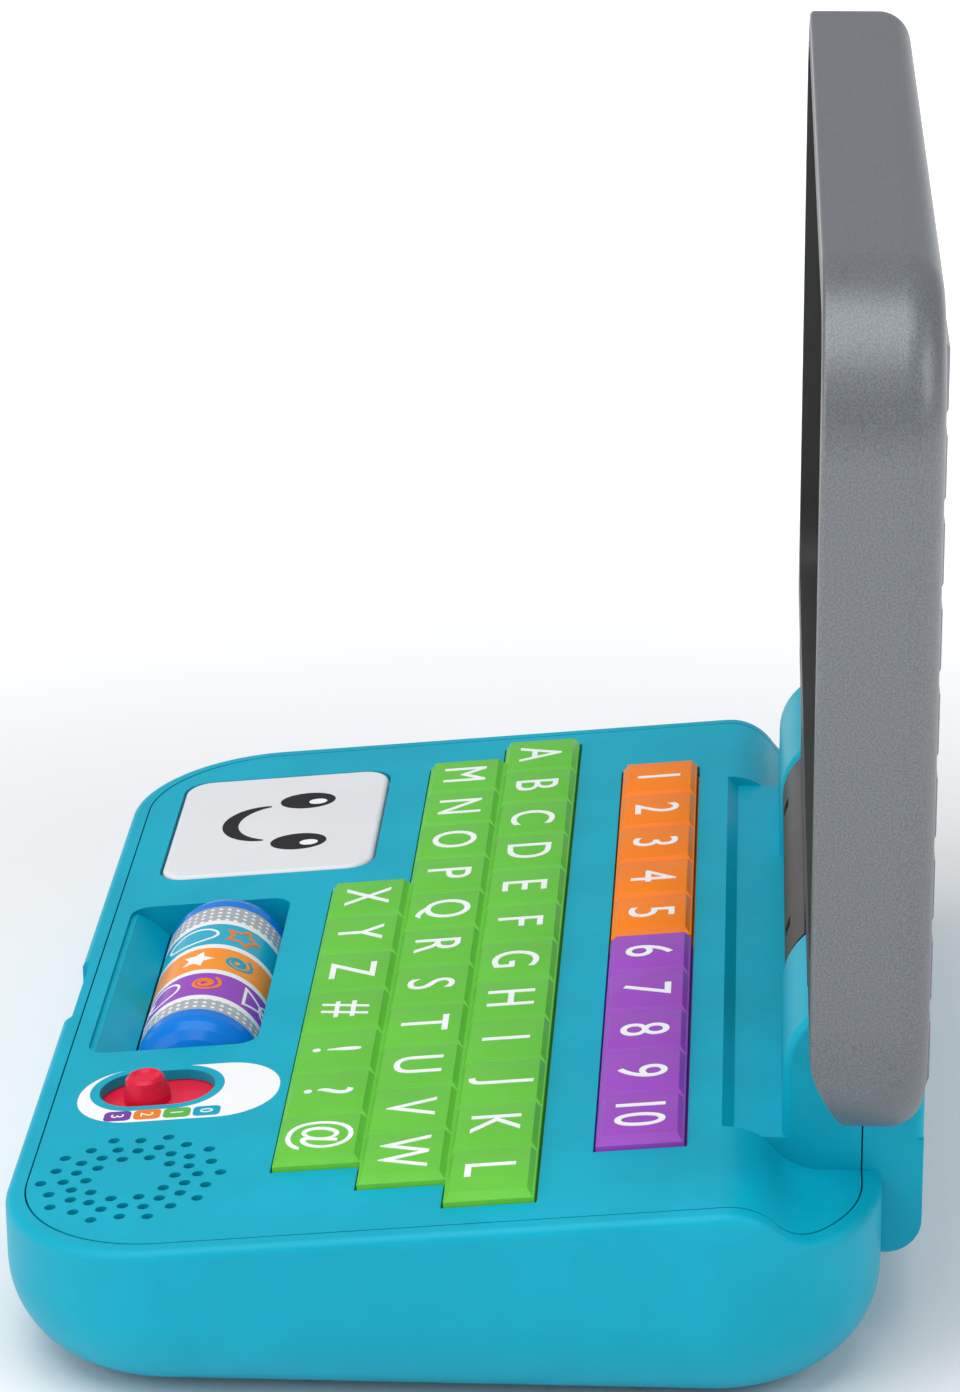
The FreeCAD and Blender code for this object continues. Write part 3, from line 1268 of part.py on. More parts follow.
def make_lid_shell():
    rolled = lid_slab("lid_outer", "0", ("lidFront", "lidBack"),
                      {"corner": size("lidCorner"), "round": size("lidBackRound")})
    soft = rounded("lid_outer_soft", rolled, size("lidFrontRound"), at_level("y", size("lidFront")))
    inside = lid_slab("lid_inside", "lidWall", ("lidFront - 1", "lidBack - lidWall"),
                      {"corner": size("lidCorner") - size("lidWall"),
                       "round": size("lidBackRound") - size("lidWall")})
    tunnels = both_sides("tunnel_wall", "pinInner + hingeEnd - lidWall", "pinOuter",
                         "towerRadius + towerGap + lidWall")
    tunnels += shut_room("tunnel_roof", "pinInner + hingeEnd - lidWall", "pinOuter", "lidWall")
    bosses = [
        rod(f"lid_boss_{i}", "y", place, ("lidFront + lidWall + panelGap", "lidBack - lidWall / 2"),
            "lidBossRadius")
        for i, place in enumerate(lid_screws_at)
    ]
    space = cut("lid_space", inside, *tunnels, shaped("ear_walls", beyond_ears(size("lidWall"))))
    panel_slab = lid_slab("panel_slab", "lidWall", ("lidFront - 1", "lidFront + lidWall + panelGap"),
                          {"corner": size("lidCorner") - size("lidWall"), "round": 0})
    space_for_panel = cut("panel_space", panel_slab, *ear_blocks("ear_front", "0"))
    body = cut("lid_walls", soft, space, space_for_panel, shaped("ear_trim", beyond_ears(0)))
    joined = fuse("lid_joined", body, *bosses, *back_pads())
    tools = both_sides("tower_space", "towerInner - hingeSideGap", "towerOuter + hingeSideGap",
                       "towerRadius + towerGap")
    tools += shut_room("tower_ceiling", "towerInner - hingeSideGap", "towerOuter + hingeSideGap", "0")
    tools.append(rod("barrel_space", "x", ("hingeY", "hingeZ"),
                     ("0 - towerInner + hingeSideGap", "towerInner - hingeSideGap"), "barrelRadius + barrelGap"))
    tools += both_sides("ear_bore", "towerOuter", "pinOuter", "pinRadius")
    tools += [
        rod(f"lid_screw_hole_{i}", "y", place, ("lidFront", "lidBack + 3"), "screwShank")
        for i, place in enumerate(lid_screws_at)
    ]
    tools += [
        rod(f"lid_screw_sink_{i}", "y", place, ("lidBack - lidScrewSink", "lidBack + 3"), "screwHead + headPlay")
        for i, place in enumerate(lid_screws_at)
    ]
    return node("lid_back_shell", cut("lid_back_shell_cut", joined, *tools))


def make_lid_screws():
    top = "lidThick - lidWall - panelGap - screwTip - headPlay"
    neck = f"{top} - lidHeadHeight"
    screws = [
        turned(f"lid_screw_{i}", "y", (x, "lidFront + lidWall + panelGap + screwTip", z), (
            ("0", "0"), ("screwShank", "screwTip"), ("screwShank", neck), ("screwHead", neck),
            ("screwHead", top), ("0", top),
        ))
        for i, (x, z) in enumerate(lid_screws_at)
    ]
    node("lid_screws", group("lid_screw_set", *screws))


def screen_area(name, grow, y):
    return plate(
        name, (f"0 - screenHalf - ({grow})", f"screenHalf + {grow}"), y,
        (f"screenLow - ({grow})", f"screenHigh + {grow}"), size("screenCorner"), "y",
    )


def make_front_panel():
    sheet_part = lid_slab("panel_sheet", "(lidWall + panelGap)", ("lidFront", "lidFront + lidWall"),
                          {"corner": size("lidCorner") - size("lidWall") - size("panelGap"), "round": 0})
    frame_part = screen_area("screen_frame", "screenLip", ("lidFront", "lidFront + screenDepth + screenLip"))
    recess = screen_area("screen_recess", "0", ("lidFront - 1", "lidFront + screenDepth"))
    window = screen_area("screen_window", "0 - screenLedge", ("lidFront", "lidFront + screenDepth + 5"))
    beside_towers = ("towerInner - hingeSideGap", "towerOuter + hingeSideGap")
    tower_openings = both_sides("panel_tower_space", *beside_towers,
                                "towerRadius + towerGap + lidWall + panelGap")
    tower_openings += shut_room("panel_tower_ceiling", *beside_towers, "lidWall + panelGap")
    tower_openings += ear_blocks("panel_ear", "panelGap")
    framed = fuse("panel_joined", sheet_part, frame_part)
    opened = cut("panel_opened", framed, recess, window, *tower_openings)
    ends = ("0 - towerInner + hingeSideGap", "towerInner - hingeSideGap")
    barrel = rod("barrel_outside", "x", ("hingeY", "hingeZ"), ends, "barrelRadius")
    bore = rod("barrel_inside", "x", ("hingeY", "hingeZ"), ("0 - pinInner", "pinInner"),
               "barrelRadius - barrelWall")
    slots = [
        block(f"barrel_slot_{side}", (f"{side} * barrelSlotAt - barrelSlotWidth / 2",
                                      f"{side} * barrelSlotAt + barrelSlotWidth / 2"),
              ("hingeY - barrelRadius - 1", "hingeY - barrelRadius + barrelSlotDepth"),
              ("hingeZ + barrelSlotLow", "hingeZ + barrelSlotHigh"))
        for side in (-1, 1)
    ]
    pin_bores = both_sides("barrel_pin_bore", "pinInner - 1", "towerInner", "pinRadius")
    joined = fuse("panel_and_barrel", opened, barrel)
    return node("lid_front_panel", cut("lid_front_panel_cut", joined, bore, *slots, *pin_bores))


def make_screen():
    ledge_back = "lidFront + screenDepth + screenLip"
    lap = "lensLap - screenLedge"
    node("screen_lens", screen_area("lens", lap, (ledge_back, f"{ledge_back} + lensThick")))
    card = (f"{ledge_back} + lensThick", f"{ledge_back} + lensThick + cardThick")
    node("screen_card", screen_area("card", lap, card))
    board = (f"{card[1]} + lightGap", f"{card[1]} + lightGap + boardThick")
    middle = "(screenLow + screenHigh) / 2"
    lamps = [
        block(f"lamp_{i}",
              (f"({i - 1.5}) * lampPitch - lampSize / 2", f"({i - 1.5}) * lampPitch + lampSize / 2"),
              (f"{card[1]} + lightGap - lampThick", f"{card[1]} + lightGap"),
              (f"{middle} - lampSize / 2", f"{middle} + lampSize / 2"))
        for i in range(4)
    ]
    light_board = block("light_board_slab", ("0 - lightBoardHalf", "lightBoardHalf"), board,
                        (f"{middle} - lightBoardRise", f"{middle} + lightBoardRise"))
    node("screen_light_board", light_board)
    node("screen_lamps", group("lamp_set", *lamps))


def make_hinges():
    bushes = []
    clips = []
    for side in (-1, 1):
        name = "right" if side > 0 else "left"
        node(f"hinge_pin_{name}", hinge_rod(f"pin_{name}", side, "pinInner", "pinOuter", "pinRadius"))
        bore = hinge_rod(f"bush_bore_{name}", side, "towerInner - 1", "towerOuter + 1",
                         "pinRadius + runningFit")
        inner = fuse(
            f"bush_inner_{name}",
            hinge_rod(f"bush_inner_sleeve_{name}", side, "towerInner", "towerInner + wall", "bushRadius"),
            hinge_rod(f"bush_inner_flange_{name}", side, "towerInner + wall", "towerInner + wall + flangeOfBush",
                      "bushFlange"),
        )
        far = fuse(
            f"bush_outer_{name}",
            hinge_rod(f"bush_outer_sleeve_{name}", side, "towerOuter - wall", "towerOuter", "bushRadius"),
            hinge_rod(f"bush_outer_flange_{name}", side, "towerOuter - wall - flangeOfBush", "towerOuter - wall",
                      "bushFlange"),
        )
        bushes.append(cut(f"bush_inner_bored_{name}", inner, bore))
        bushes.append(cut(f"bush_outer_bored_{name}", far, bore))
        middle = "(towerInner + towerOuter) / 2"
        ring = hinge_rod(f"clip_ring_{name}", side, f"{middle} - clipHalf", f"{middle} + clipHalf", "bushRadius")
        arm = block(f"clip_arm_{name}", (f"{side} * {middle} - clipHalf", f"{side} * {middle} + clipHalf"),
                    ("hingeY - towerRadius + wall", "hingeY - pinRadius"), ("hingeZ - clipArm", "hingeZ"))
        clips.append(cut(f"clip_{name}", fuse(f"clip_joined_{name}", ring, arm), bore))
    node("hinge_bushes", group("bush_set", *bushes))
    node("friction_clips", group("clip_set", *clips))


make_bottom_shell()
make_top_shell()
make_door()
make_battery_box()
make_screws_and_feet()
make_letter_keypad()
make_number_plate("number_plate_low", -1)
make_number_plate("number_plate_high", 1)
make_dome_mats()
make_boards()
make_face_button()
make_roller()
make_cradle()
make_slider()
make_speaker()
make_lid_shell()
make_front_panel()
make_lid_screws()
make_screen()
make_hinges()
doc.recompute()

for thing in doc.Objects:
    if "Invalid" in thing.State or "Error" in thing.State:
        raise RuntimeError(f"{thing.Name} failed: {thing.State}")
for name, piece in nodes.items():
    if piece.Shape.isNull() or not piece.Shape.isValid():
        raise RuntimeError(f"{name} has no valid shape")

os.makedirs("parts", exist_ok=True)
for name, piece in nodes.items():
    piece.Shape.exportStep(f"parts/{name}.step")
    print(name, round(piece.Shape.Volume), len(piece.Shape.Solids))
print("hinge axis", size("hingeY"), size("hingeZ"))
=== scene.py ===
import json
from math import atan2, cos, pi, radians, sin, tau

import bmesh
import bpy
from mathutils import Matrix, Quaternion, Vector


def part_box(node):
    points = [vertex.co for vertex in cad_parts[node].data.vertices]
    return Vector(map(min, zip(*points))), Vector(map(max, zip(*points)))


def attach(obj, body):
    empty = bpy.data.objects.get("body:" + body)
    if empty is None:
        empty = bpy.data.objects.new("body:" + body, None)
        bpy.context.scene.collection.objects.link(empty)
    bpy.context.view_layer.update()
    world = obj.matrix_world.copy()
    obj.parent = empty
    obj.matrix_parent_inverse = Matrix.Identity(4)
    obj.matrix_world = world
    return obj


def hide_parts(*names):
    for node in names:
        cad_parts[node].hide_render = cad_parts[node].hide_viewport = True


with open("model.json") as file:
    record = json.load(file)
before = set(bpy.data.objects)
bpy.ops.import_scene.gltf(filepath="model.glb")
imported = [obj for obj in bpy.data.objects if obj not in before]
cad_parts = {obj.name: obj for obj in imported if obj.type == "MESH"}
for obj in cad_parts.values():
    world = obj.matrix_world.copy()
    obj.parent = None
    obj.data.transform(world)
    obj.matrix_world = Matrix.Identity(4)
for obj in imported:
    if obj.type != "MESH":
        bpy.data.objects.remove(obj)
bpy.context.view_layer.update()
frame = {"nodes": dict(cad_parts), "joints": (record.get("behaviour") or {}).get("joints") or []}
nodes = frame["nodes"]
joints = {j["name"]: j for j in frame["joints"]}
print("frame loaded,", len(nodes), "nodes")


# camera first: the long lens, low on the user's right
cameraSetup = {
    "place": (0.9957, 0.0589, 0.4929),
    "forward": (-0.9323, -0.0568, -0.3572),
    "roll": -0.52,  # degrees
    "lens": 117.6,
}


def makeCamera(c):
    data = bpy.data.cameras.new("camera")
    data.lens = c["lens"]
    data.sensor_width = 36
    cam = bpy.data.objects.new("camera", data)
    bpy.context.scene.collection.objects.link(cam)
    cam.location = c["place"]
    cam.rotation_mode = "QUATERNION"
    aim = Vector(c["forward"]).to_track_quat("-Z", "Y")
    cam.rotation_quaternion = aim @ Quaternion((0, 0, 1), radians(c["roll"]))
    data.clip_start = 0.05
    data.clip_end = 20
    bpy.context.scene.camera = cam


makeCamera(cameraSetup)
bpy.context.scene.view_settings.view_transform = "Standard"  # the toy's colours stay saturated
print("camera made")


# shader maths: a socket that can be added, multiplied and compared like a number
class Wire:
    def __init__(self, net, socket):
        self.net = net
        self.socket = socket

    def maths(self, operation, a, b=None):
        inputs = {0: a} if b is None else {0: a, 1: b}
        return self.net.add("ShaderNodeMath", {"operation": operation}, inputs)

    def __add__(self, other):
        return self.maths("ADD", self, other)

    def __radd__(self, other):
        return self.maths("ADD", other, self)

    def __sub__(self, other):
        return self.maths("SUBTRACT", self, other)

    def __rsub__(self, other):
        return self.maths("SUBTRACT", other, self)

    def __mul__(self, other):
        return self.maths("MULTIPLY", self, other)

    def __rmul__(self, other):
        return self.maths("MULTIPLY", other, self)

    def __truediv__(self, other):
        return self.maths("DIVIDE", self, other)

    def __gt__(self, other):
        return self.maths("GREATER_THAN", self, other)

    def __lt__(self, other):
        return self.maths("LESS_THAN", self, other)

    def __pow__(self, other):
        return self.maths("POWER", self, other)

    def abs(self):
        return self.maths("ABSOLUTE", self)

    def fract(self):
        return self.maths("FRACT", self)

    def sine(self):
        return self.maths("SINE", self)


class Net:
    def __init__(self, name):
        self.material = bpy.data.materials.new(name)
        self.material.use_nodes = True
        self.tree = self.material.node_tree
        self.tree.nodes.clear()

    # any node: its settings first, then its inputs as values or wires
    def node(self, kind, settings=None, inputs=None):
        made = self.tree.nodes.new(kind)
        for key, value in (settings or {}).items():
            setattr(made, key, value)
        for key, value in (inputs or {}).items():
            socket = made.inputs[key]
            if isinstance(value, Wire):
                self.tree.links.new(value.socket, socket)
            else:
                socket.default_value = value
        return made

    def add(self, kind, settings=None, inputs=None, out=0):
        return Wire(self, self.node(kind, settings, inputs).outputs[out])

    def place(self):
        return self.add("ShaderNodeTexCoord", out="Object")

    def axes(self):
        parts = self.node("ShaderNodeSeparateXYZ", {}, {0: self.place()})
        return [Wire(self, output) for output in parts.outputs]

    def noise(self, scale, detail=2.0, rough=0.5):
        inputs = {"Vector": self.place(), "Scale": scale, "Detail": detail, "Roughness": rough}
        return self.add("ShaderNodeTexNoise", {}, inputs)

    def ramp(self, value, low, high):
        inputs = {"Value": value, "From Min": low, "From Max": high}
        return self.add("ShaderNodeMapRange", {"interpolation_type": "SMOOTHSTEP"}, inputs)

    def mix(self, mask, a, b):
        inputs = {0: mask, 6: a, 7: b}
        return self.add("ShaderNodeMix", {"data_type": "RGBA"}, inputs, out=2)

    def bump(self, height, strength, distance):
        inputs = {"Height": height, "Strength": strength, "Distance": distance}
        return self.add("ShaderNodeBump", {}, inputs)

    def finish(self, inputs):
        shader = self.add("ShaderNodeBsdfPrincipled", {}, inputs)
        self.node("ShaderNodeOutputMaterial", {}, {"Surface": shader})
        return self.material


def paint(red, green, blue):
    def linear(c):
        c = c / 255
        return c / 12.92 if c <= 0.04045 else ((c + 0.055) / 1.055) ** 2.4
    return (linear(red), linear(green), linear(blue), 1)


def shade(colour, factor):
    return tuple(c * factor for c in colour[:3]) + (1,)


# moulded plastic: a faint mottle in the colour, a fine spark-eroded grain, soft scuffs in the gloss
moulding = {
    "gloss": 0.2,
    "cloudScale": 38,
    "grainScale": 2600,
    "scuffScale": 120,
    "scuff": 0.06,
    "grainDepth": 0.0002,
}
plastics = {
    "tealPlastic": {"colour": paint(0, 168, 194), "rough": 0.42, "grain": 0.05, "mottle": 0.05},
    "greenPlastic": {"colour": paint(104, 196, 62), "rough": 0.32, "grain": 0.02, "mottle": 0.04},
    "orangePlastic": {"colour": paint(255, 132, 8), "rough": 0.32, "grain": 0.02, "mottle": 0.04},
    "purplePlastic": {"colour": paint(160, 76, 194), "rough": 0.32, "grain": 0.02, "mottle": 0.04},
    "whitePlastic": {"colour": paint(228, 228, 230), "rough": 0.3, "grain": 0.01, "mottle": 0.02},
    "bluePlastic": {"colour": paint(0, 122, 218), "rough": 0.2, "grain": 0.01, "mottle": 0.03},
    "redPlastic": {"colour": paint(228, 28, 62), "rough": 0.22, "grain": 0.01, "mottle": 0.03},
    "darkPlastic": {"colour": paint(40, 40, 42), "rough": 0.5, "grain": 0.04, "mottle": 0.05},
    "panelPlastic": {"colour": paint(62, 60, 60), "rough": 0.42, "grain": 0.06, "mottle": 0.06},
    "greyRubber": {"colour": paint(70, 72, 74), "rough": 0.75, "grain": 0.05, "mottle": 0.08},
    "inkWhite": {"colour": paint(246, 246, 246), "rough": 0.38, "grain": 0.0, "mottle": 0.015},
    "inkBlack": {"colour": paint(24, 22, 24), "rough": 0.4, "grain": 0.0, "mottle": 0.03},
    "inkOrange": {"colour": paint(244, 128, 28), "rough": 0.4, "grain": 0.0, "mottle": 0.03},
    "inkPurple": {"colour": paint(120, 62, 160), "rough": 0.4, "grain": 0.0, "mottle": 0.03},
    "inkGreen": {"colour": paint(92, 180, 70), "rough": 0.4, "grain": 0.0, "mottle": 0.03},
    "inkTeal": {"colour": paint(10, 160, 190), "rough": 0.4, "grain": 0.0, "mottle": 0.03},
    "boardGreen": {"colour": paint(20, 92, 52), "rough": 0.35, "grain": 0.02, "mottle": 0.12},
    "conePaper": {"colour": paint(34, 34, 38), "rough": 0.9, "grain": 0.2, "mottle": 0.2},
    "batterySleeve": {"colour": paint(44, 52, 64), "rough": 0.35, "grain": 0.01, "mottle": 0.05},
}


def plastic(name, p):
    net = Net(name)
    cloudy = net.noise(moulding["cloudScale"], 3)
    colour = net.mix(net.ramp(cloudy, 0.35, 0.65), shade(p["colour"], 1 - p["mottle"]),
                     shade(p["colour"], 1 + p["mottle"] * 0.6))
    rough = p["rough"] + moulding["scuff"] * (net.noise(moulding["scuffScale"], 4) - 0.5)
    inputs = {"Base Color": colour, "Roughness": rough, "Specular IOR Level": moulding["gloss"]}
    if p["grain"] > 0:
        grain = net.noise(moulding["grainScale"], 2, 0.6)
        inputs["Normal"] = net.bump(grain, p["grain"] * 2, moulding["grainDepth"])
    return net.finish(inputs)


materials = {name: plastic(name, p) for name, p in plastics.items()}

lidFinish = {
    "colour": paint(120, 124, 127),
    "dark": paint(96, 100, 104),
    "rough": 0.36,
    "metal": 0.35,
    "flakeScale": 2300,
    "flakeGloss": 0.12,
    "flakeDepth": 0.0002,
    "sheenScale": 9,
    "sheen": 0.12,
}


def satinGrey(p):
    net = Net("lidSatinGrey")
    flakes = net.noise(p["flakeScale"], 2, 0.7)
    broad = net.noise(p["sheenScale"], 2)
    colour = net.mix(net.ramp(flakes, 0.3, 0.72), p["dark"], p["colour"])
    colour = net.mix(p["sheen"] * broad, colour, shade(p["colour"], 1.25))
    return net.finish({
        "Base Color": colour,
        "Metallic": p["metal"],
        "Roughness": p["rough"] + p["flakeGloss"] * (flakes - 0.5),
        "Normal": net.bump(flakes, 0.12, p["flakeDepth"]),
    })


materials["lidSatinGrey"] = satinGrey(lidFinish)


def zincSteel():
    net = Net("zincSteel")
    brushed = net.noise(900, 3, 0.7)
    return net.finish({
        "Base Color": net.mix(brushed, paint(150, 152, 156), paint(196, 198, 200)),
        "Metallic": 1.0,
        "Roughness": 0.28 + 0.2 * brushed,
    })


def clearLens():
    net = Net("clearLens")
    smears = net.noise(22, 3)
    return net.finish({
        "Base Color": (0.9, 0.95, 1, 1),
        "Roughness": 0.04 + 0.05 * smears,
        "Alpha": 0.14,
    })


materials["zincSteel"] = zincSteel()
materials["clearLens"] = clearLens()
print("plain materials made")


# the roller's printed bands, from its left end to its right end
rollerPrint = {
    "line": 0.0011,  # half width of a white line between two bands
    "dotPitch": 0.0021,
    "dotSize": 0.00052,
    "grey": paint(172, 176, 180),
    "white": paint(244, 244, 244),
    "bands": ((-0.0205, paint(172, 176, 180)), (-0.0062, paint(20, 172, 202)),
              (0.0085, paint(255, 150, 14)), (0.0232, paint(150, 62, 190)), (0.04, paint(172, 176, 180))),
}


def printedBands(p):
    net = Net("rollerBands")
    x, y, z = net.axes()
    colour = p["grey"]
    lines = None
    previous = None
    for end, band in p["bands"]:
        if previous is not None:
            colour = net.mix(x > previous, colour, band)
            line = (x - previous).abs() < p["line"]
            lines = line if lines is None else lines + line
        previous = end
    lo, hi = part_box("roller_sleeve")
    centre = (lo + hi) / 2
    angle = net.add("ShaderNodeMath", {"operation": "ARCTAN2"}, {0: y - centre.y, 1: z - centre.z})
    around = angle * ((hi.z - lo.z) / 2 / p["dotPitch"])
    along = x / p["dotPitch"]
    dots = ((along.fract() - 0.5) ** 2 + (around.fract() - 0.5) ** 2) < (p["dotSize"] / p["dotPitch"]) ** 2
    outside = (x < p["bands"][0][0]) + (x > p["bands"][3][0])
    colour = net.mix(dots * outside, colour, p["white"])
    colour = net.mix(net.add("ShaderNodeClamp", {}, {0: lines}), colour, p["white"])
    return net.finish({"Base Color": colour, "Roughness": 0.24 + 0.05 * net.noise(160, 2)})


materials["rollerBands"] = printedBands(rollerPrint)


# the picture behind the screen: hills, a sun and a sky, nobody's
pictureSetup = {
    "sun": (0.062, 0.205),
    "sunRadius": 0.017,
    "farHills": (0.42, 0.07, 38, 0),  # level and swell as shares of the height, turns along, shift
    "nearHills": (0.26, 0.06, 27, 2.0),
}


def screenPicture(p):
    net = Net("screenPicture")
    x, _, z = net.axes()
    lo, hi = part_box("screen_card")
    height = (z - lo.z) / (hi.z - lo.z)
    colour = net.mix(net.ramp(height, 0.2, 1.0), paint(190, 232, 246), paint(64, 164, 222))
    sunX, sunZ = p["sun"]
    distance = ((x - sunX) ** 2 + (z - sunZ) ** 2) ** 0.5
    colour = net.mix(1 - net.ramp(distance, p["sunRadius"] * 1.35, p["sunRadius"] * 1.6), colour,
                     paint(255, 236, 150))
    colour = net.mix(1 - net.ramp(distance, p["sunRadius"], p["sunRadius"] * 1.05), colour,
                     paint(255, 196, 40))
    for hills, green in (("farHills", paint(126, 196, 92)), ("nearHills", paint(72, 162, 72))):
        level, swell, turns, shift = p[hills]
        above = height - level - swell * (x * turns + shift).sine()
        colour = net.mix(above < 0, colour, green)
    return net.finish({"Base Color": colour, "Roughness": 0.5 + 0.1 * net.noise(60, 2)})


materials["screenPicture"] = screenPicture(pictureSetup)
print("printed materials made")


def wear(piece, material):
    piece.data.materials.clear()
    piece.data.materials.append(materials[material])


cadFinish = {
    "tealPlastic": ("bottom_shell", "top_shell", "battery_door", "roller_cradle"),
    "lidSatinGrey": ("lid_back_shell",),
    "panelPlastic": ("lid_front_panel",),
    "clearLens": ("screen_lens",),
    "screenPicture": ("screen_card",),
    "greenPlastic": ("letter_keypad",),
    "orangePlastic": ("number_plate_low",),
    "purplePlastic": ("number_plate_high",),
    "whitePlastic": ("face_button", "roller_drum", "hinge_bushes"),
    "bluePlastic": ("roller_cap_left", "roller_cap_right"),
    "redPlastic": ("slider_knob",),
    "rollerBands": ("roller_sleeve",),
    "inkWhite": ("slider_label", "screen_lamps"),
    "darkPlastic": ("battery_box", "board_chips", "slider_switch", "speaker_ring"),
    "greyRubber": ("rubber_feet", "letter_dome_mat", "number_dome_mat", "face_button_dome"),
    "boardGreen": ("main_board", "face_light_board", "screen_light_board"),
    "conePaper": ("speaker_cone",),
    "batterySleeve": ("battery_1", "battery_2", "battery_3"),
    "zincSteel": ("battery_door_screw", "battery_contacts", "case_screws", "roller_axle", "speaker_basket",
                  "lid_screws", "hinge_pin_left", "hinge_pin_right", "friction_clips"),
}
for finish, names in cadFinish.items():
    for name in names:
        wear(nodes[name], finish)
print("CAD nodes painted")


# the deck's own frame: X across, Y up the slope from the label's front edge, Z out of the deck
pressAxis = Vector(joints["letters_press"]["axis"])
deckTilt = atan2(pressAxis.y, -pressAxis.z)
labelLow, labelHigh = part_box("slider_label")
labelThick = 0.0004
deckMatrix = Matrix.Translation((0, labelLow.y, labelLow.z + labelThick * cos(deckTilt)))
deckMatrix = deckMatrix @ Matrix.Rotation(deckTilt, 4, "X")


def deckBox(name):
    inverse = deckMatrix.inverted()
    points = [inverse @ v.co for v in nodes[name].data.vertices]
    low = Vector([min(p[i] for p in points) for i in range(3)])
    high = Vector([max(p[i] for p in points) for i in range(3)])
    return low, high


def onDeck(x, y, level):
    return deckMatrix @ Matrix.Translation((x, y, level))


creaseAngle = 32  # degrees: edges past this are shaded sharp


def newPiece(name, bm, material, body, smooth=True):
    bmesh.ops.remove_doubles(bm, verts=bm.verts, dist=1e-6)
    bmesh.ops.recalc_face_normals(bm, faces=bm.faces)
    mesh = bpy.data.meshes.new(name)
    bm.to_mesh(mesh)
    bm.free()
    piece = bpy.data.objects.new(name, mesh)
    bpy.context.scene.collection.objects.link(piece)
    if smooth:
        for face in mesh.polygons:
            face.use_smooth = True
        mesh.set_sharp_from_angle(angle=radians(creaseAngle))
    wear(piece, material)
    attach(piece, body)
    return piece


# a copy of a CAD node with its triangles merged and its sharp edges softened
keySoft = {
    "width": 0.00035,
    "segments": 2,
    "weld": 2e-6,
    "flat": 0.5,  # degrees: faces closer to level than this become one
    "sharp": 28,  # degrees: edges past this are softened
}


def softened(node, p, material, body):
    bm = bmesh.new()
    bm.from_mesh(nodes[node].data)
    bmesh.ops.remove_doubles(bm, verts=bm.verts, dist=p["weld"])
    bmesh.ops.dissolve_limit(bm, angle_limit=radians(p["flat"]), verts=bm.verts, edges=bm.edges)
    sharp = [e for e in bm.edges if len(e.link_faces) == 2 and e.calc_face_angle(0) > radians(p["sharp"])]
    bmesh.ops.bevel(bm, geom=sharp, offset=p["width"], affect="EDGES", segments=p["segments"], profile=0.5,
                    material=-1, clamp_overlap=True, loop_slide=True)
    piece = newPiece(node + "_soft", bm, material, body)
    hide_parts(node)
    return piece


softened("letter_keypad", keySoft, "greenPlastic", "letters")
softened("number_plate_low", keySoft, "orangePlastic", "numbers_low")
softened("number_plate_high", keySoft, "purplePlastic", "numbers_high")
print("key plates softened")


# printed characters stand a hair proud of the keys
glyphs = {
    "height": 0.0118,
    "capital": 0.73,  # a capital's height as a share of the font's size
    "narrow": 0.9,
    "proud": 0.00012,
    "pitch": 0.022,
    "row": 0.0195,
    "numberPitch": 0.0219,
    "flange": 0.0026,  # the letter plate's lip reaches this far past its keys
}


def textMesh(words, height, narrow, thick):
    size = height / glyphs["capital"]
    curve = bpy.data.curves.new("words", "FONT")
    curve.body = words
    curve.align_x = "CENTER"
    curve.align_y = "CENTER"
    curve.size = 1
    curve.resolution_u = 6
    thing = bpy.data.objects.new("words", curve)
    bpy.context.scene.collection.objects.link(thing)
    bpy.context.view_layer.update()
    mesh = bpy.data.meshes.new_from_object(thing.evaluated_get(bpy.context.evaluated_depsgraph_get()))
    bpy.data.objects.remove(thing)
    bm = bmesh.new()
    bm.from_mesh(mesh)
    bpy.data.meshes.remove(mesh)
    bmesh.ops.remove_doubles(bm, verts=bm.verts, dist=1e-4)
    low = Vector([min(v.co[i] for v in bm.verts) for i in range(3)])
    high = Vector([max(v.co[i] for v in bm.verts) for i in range(3)])
    centre = (low + high) / 2
    bmesh.ops.translate(bm, verts=bm.verts, vec=-centre)
    bmesh.ops.scale(bm, verts=bm.verts, vec=(size * narrow, size, 1))
    bmesh.ops.dissolve_limit(bm, angle_limit=radians(1), verts=bm.verts, edges=bm.edges)
    grown = bmesh.ops.extrude_face_region(bm, geom=bm.faces[:])
    moved = [g for g in grown["geom"] if isinstance(g, bmesh.types.BMVert)]
    bmesh.ops.translate(bm, verts=moved, vec=(0, 0, thick))
    return bm


def addTo(target, source, matrix):
    mesh = bpy.data.meshes.new("part")
    bmesh.ops.transform(source, matrix=matrix, verts=source.verts)
    source.to_mesh(mesh)
    source.free()
    target.from_mesh(mesh)
    bpy.data.meshes.remove(mesh)


def printGlyphs(name, texts, node, body, startX, startY, pitch):
    level = deckBox(node)[1].z - glyphs["proud"]
    bm = bmesh.new()
    for row, (offset, words) in enumerate(texts):
        for i, letter in enumerate(words):
            x = startX + (offset + i + 0.5) * pitch
            y = startY + (row + 0.5) * glyphs["row"]
            letterShape = textMesh(letter, glyphs["height"], glyphs["narrow"], glyphs["proud"] * 2)
            addTo(bm, letterShape, onDeck(x, y, level))
    return newPiece(name, bm, "inkWhite", body, smooth=False)


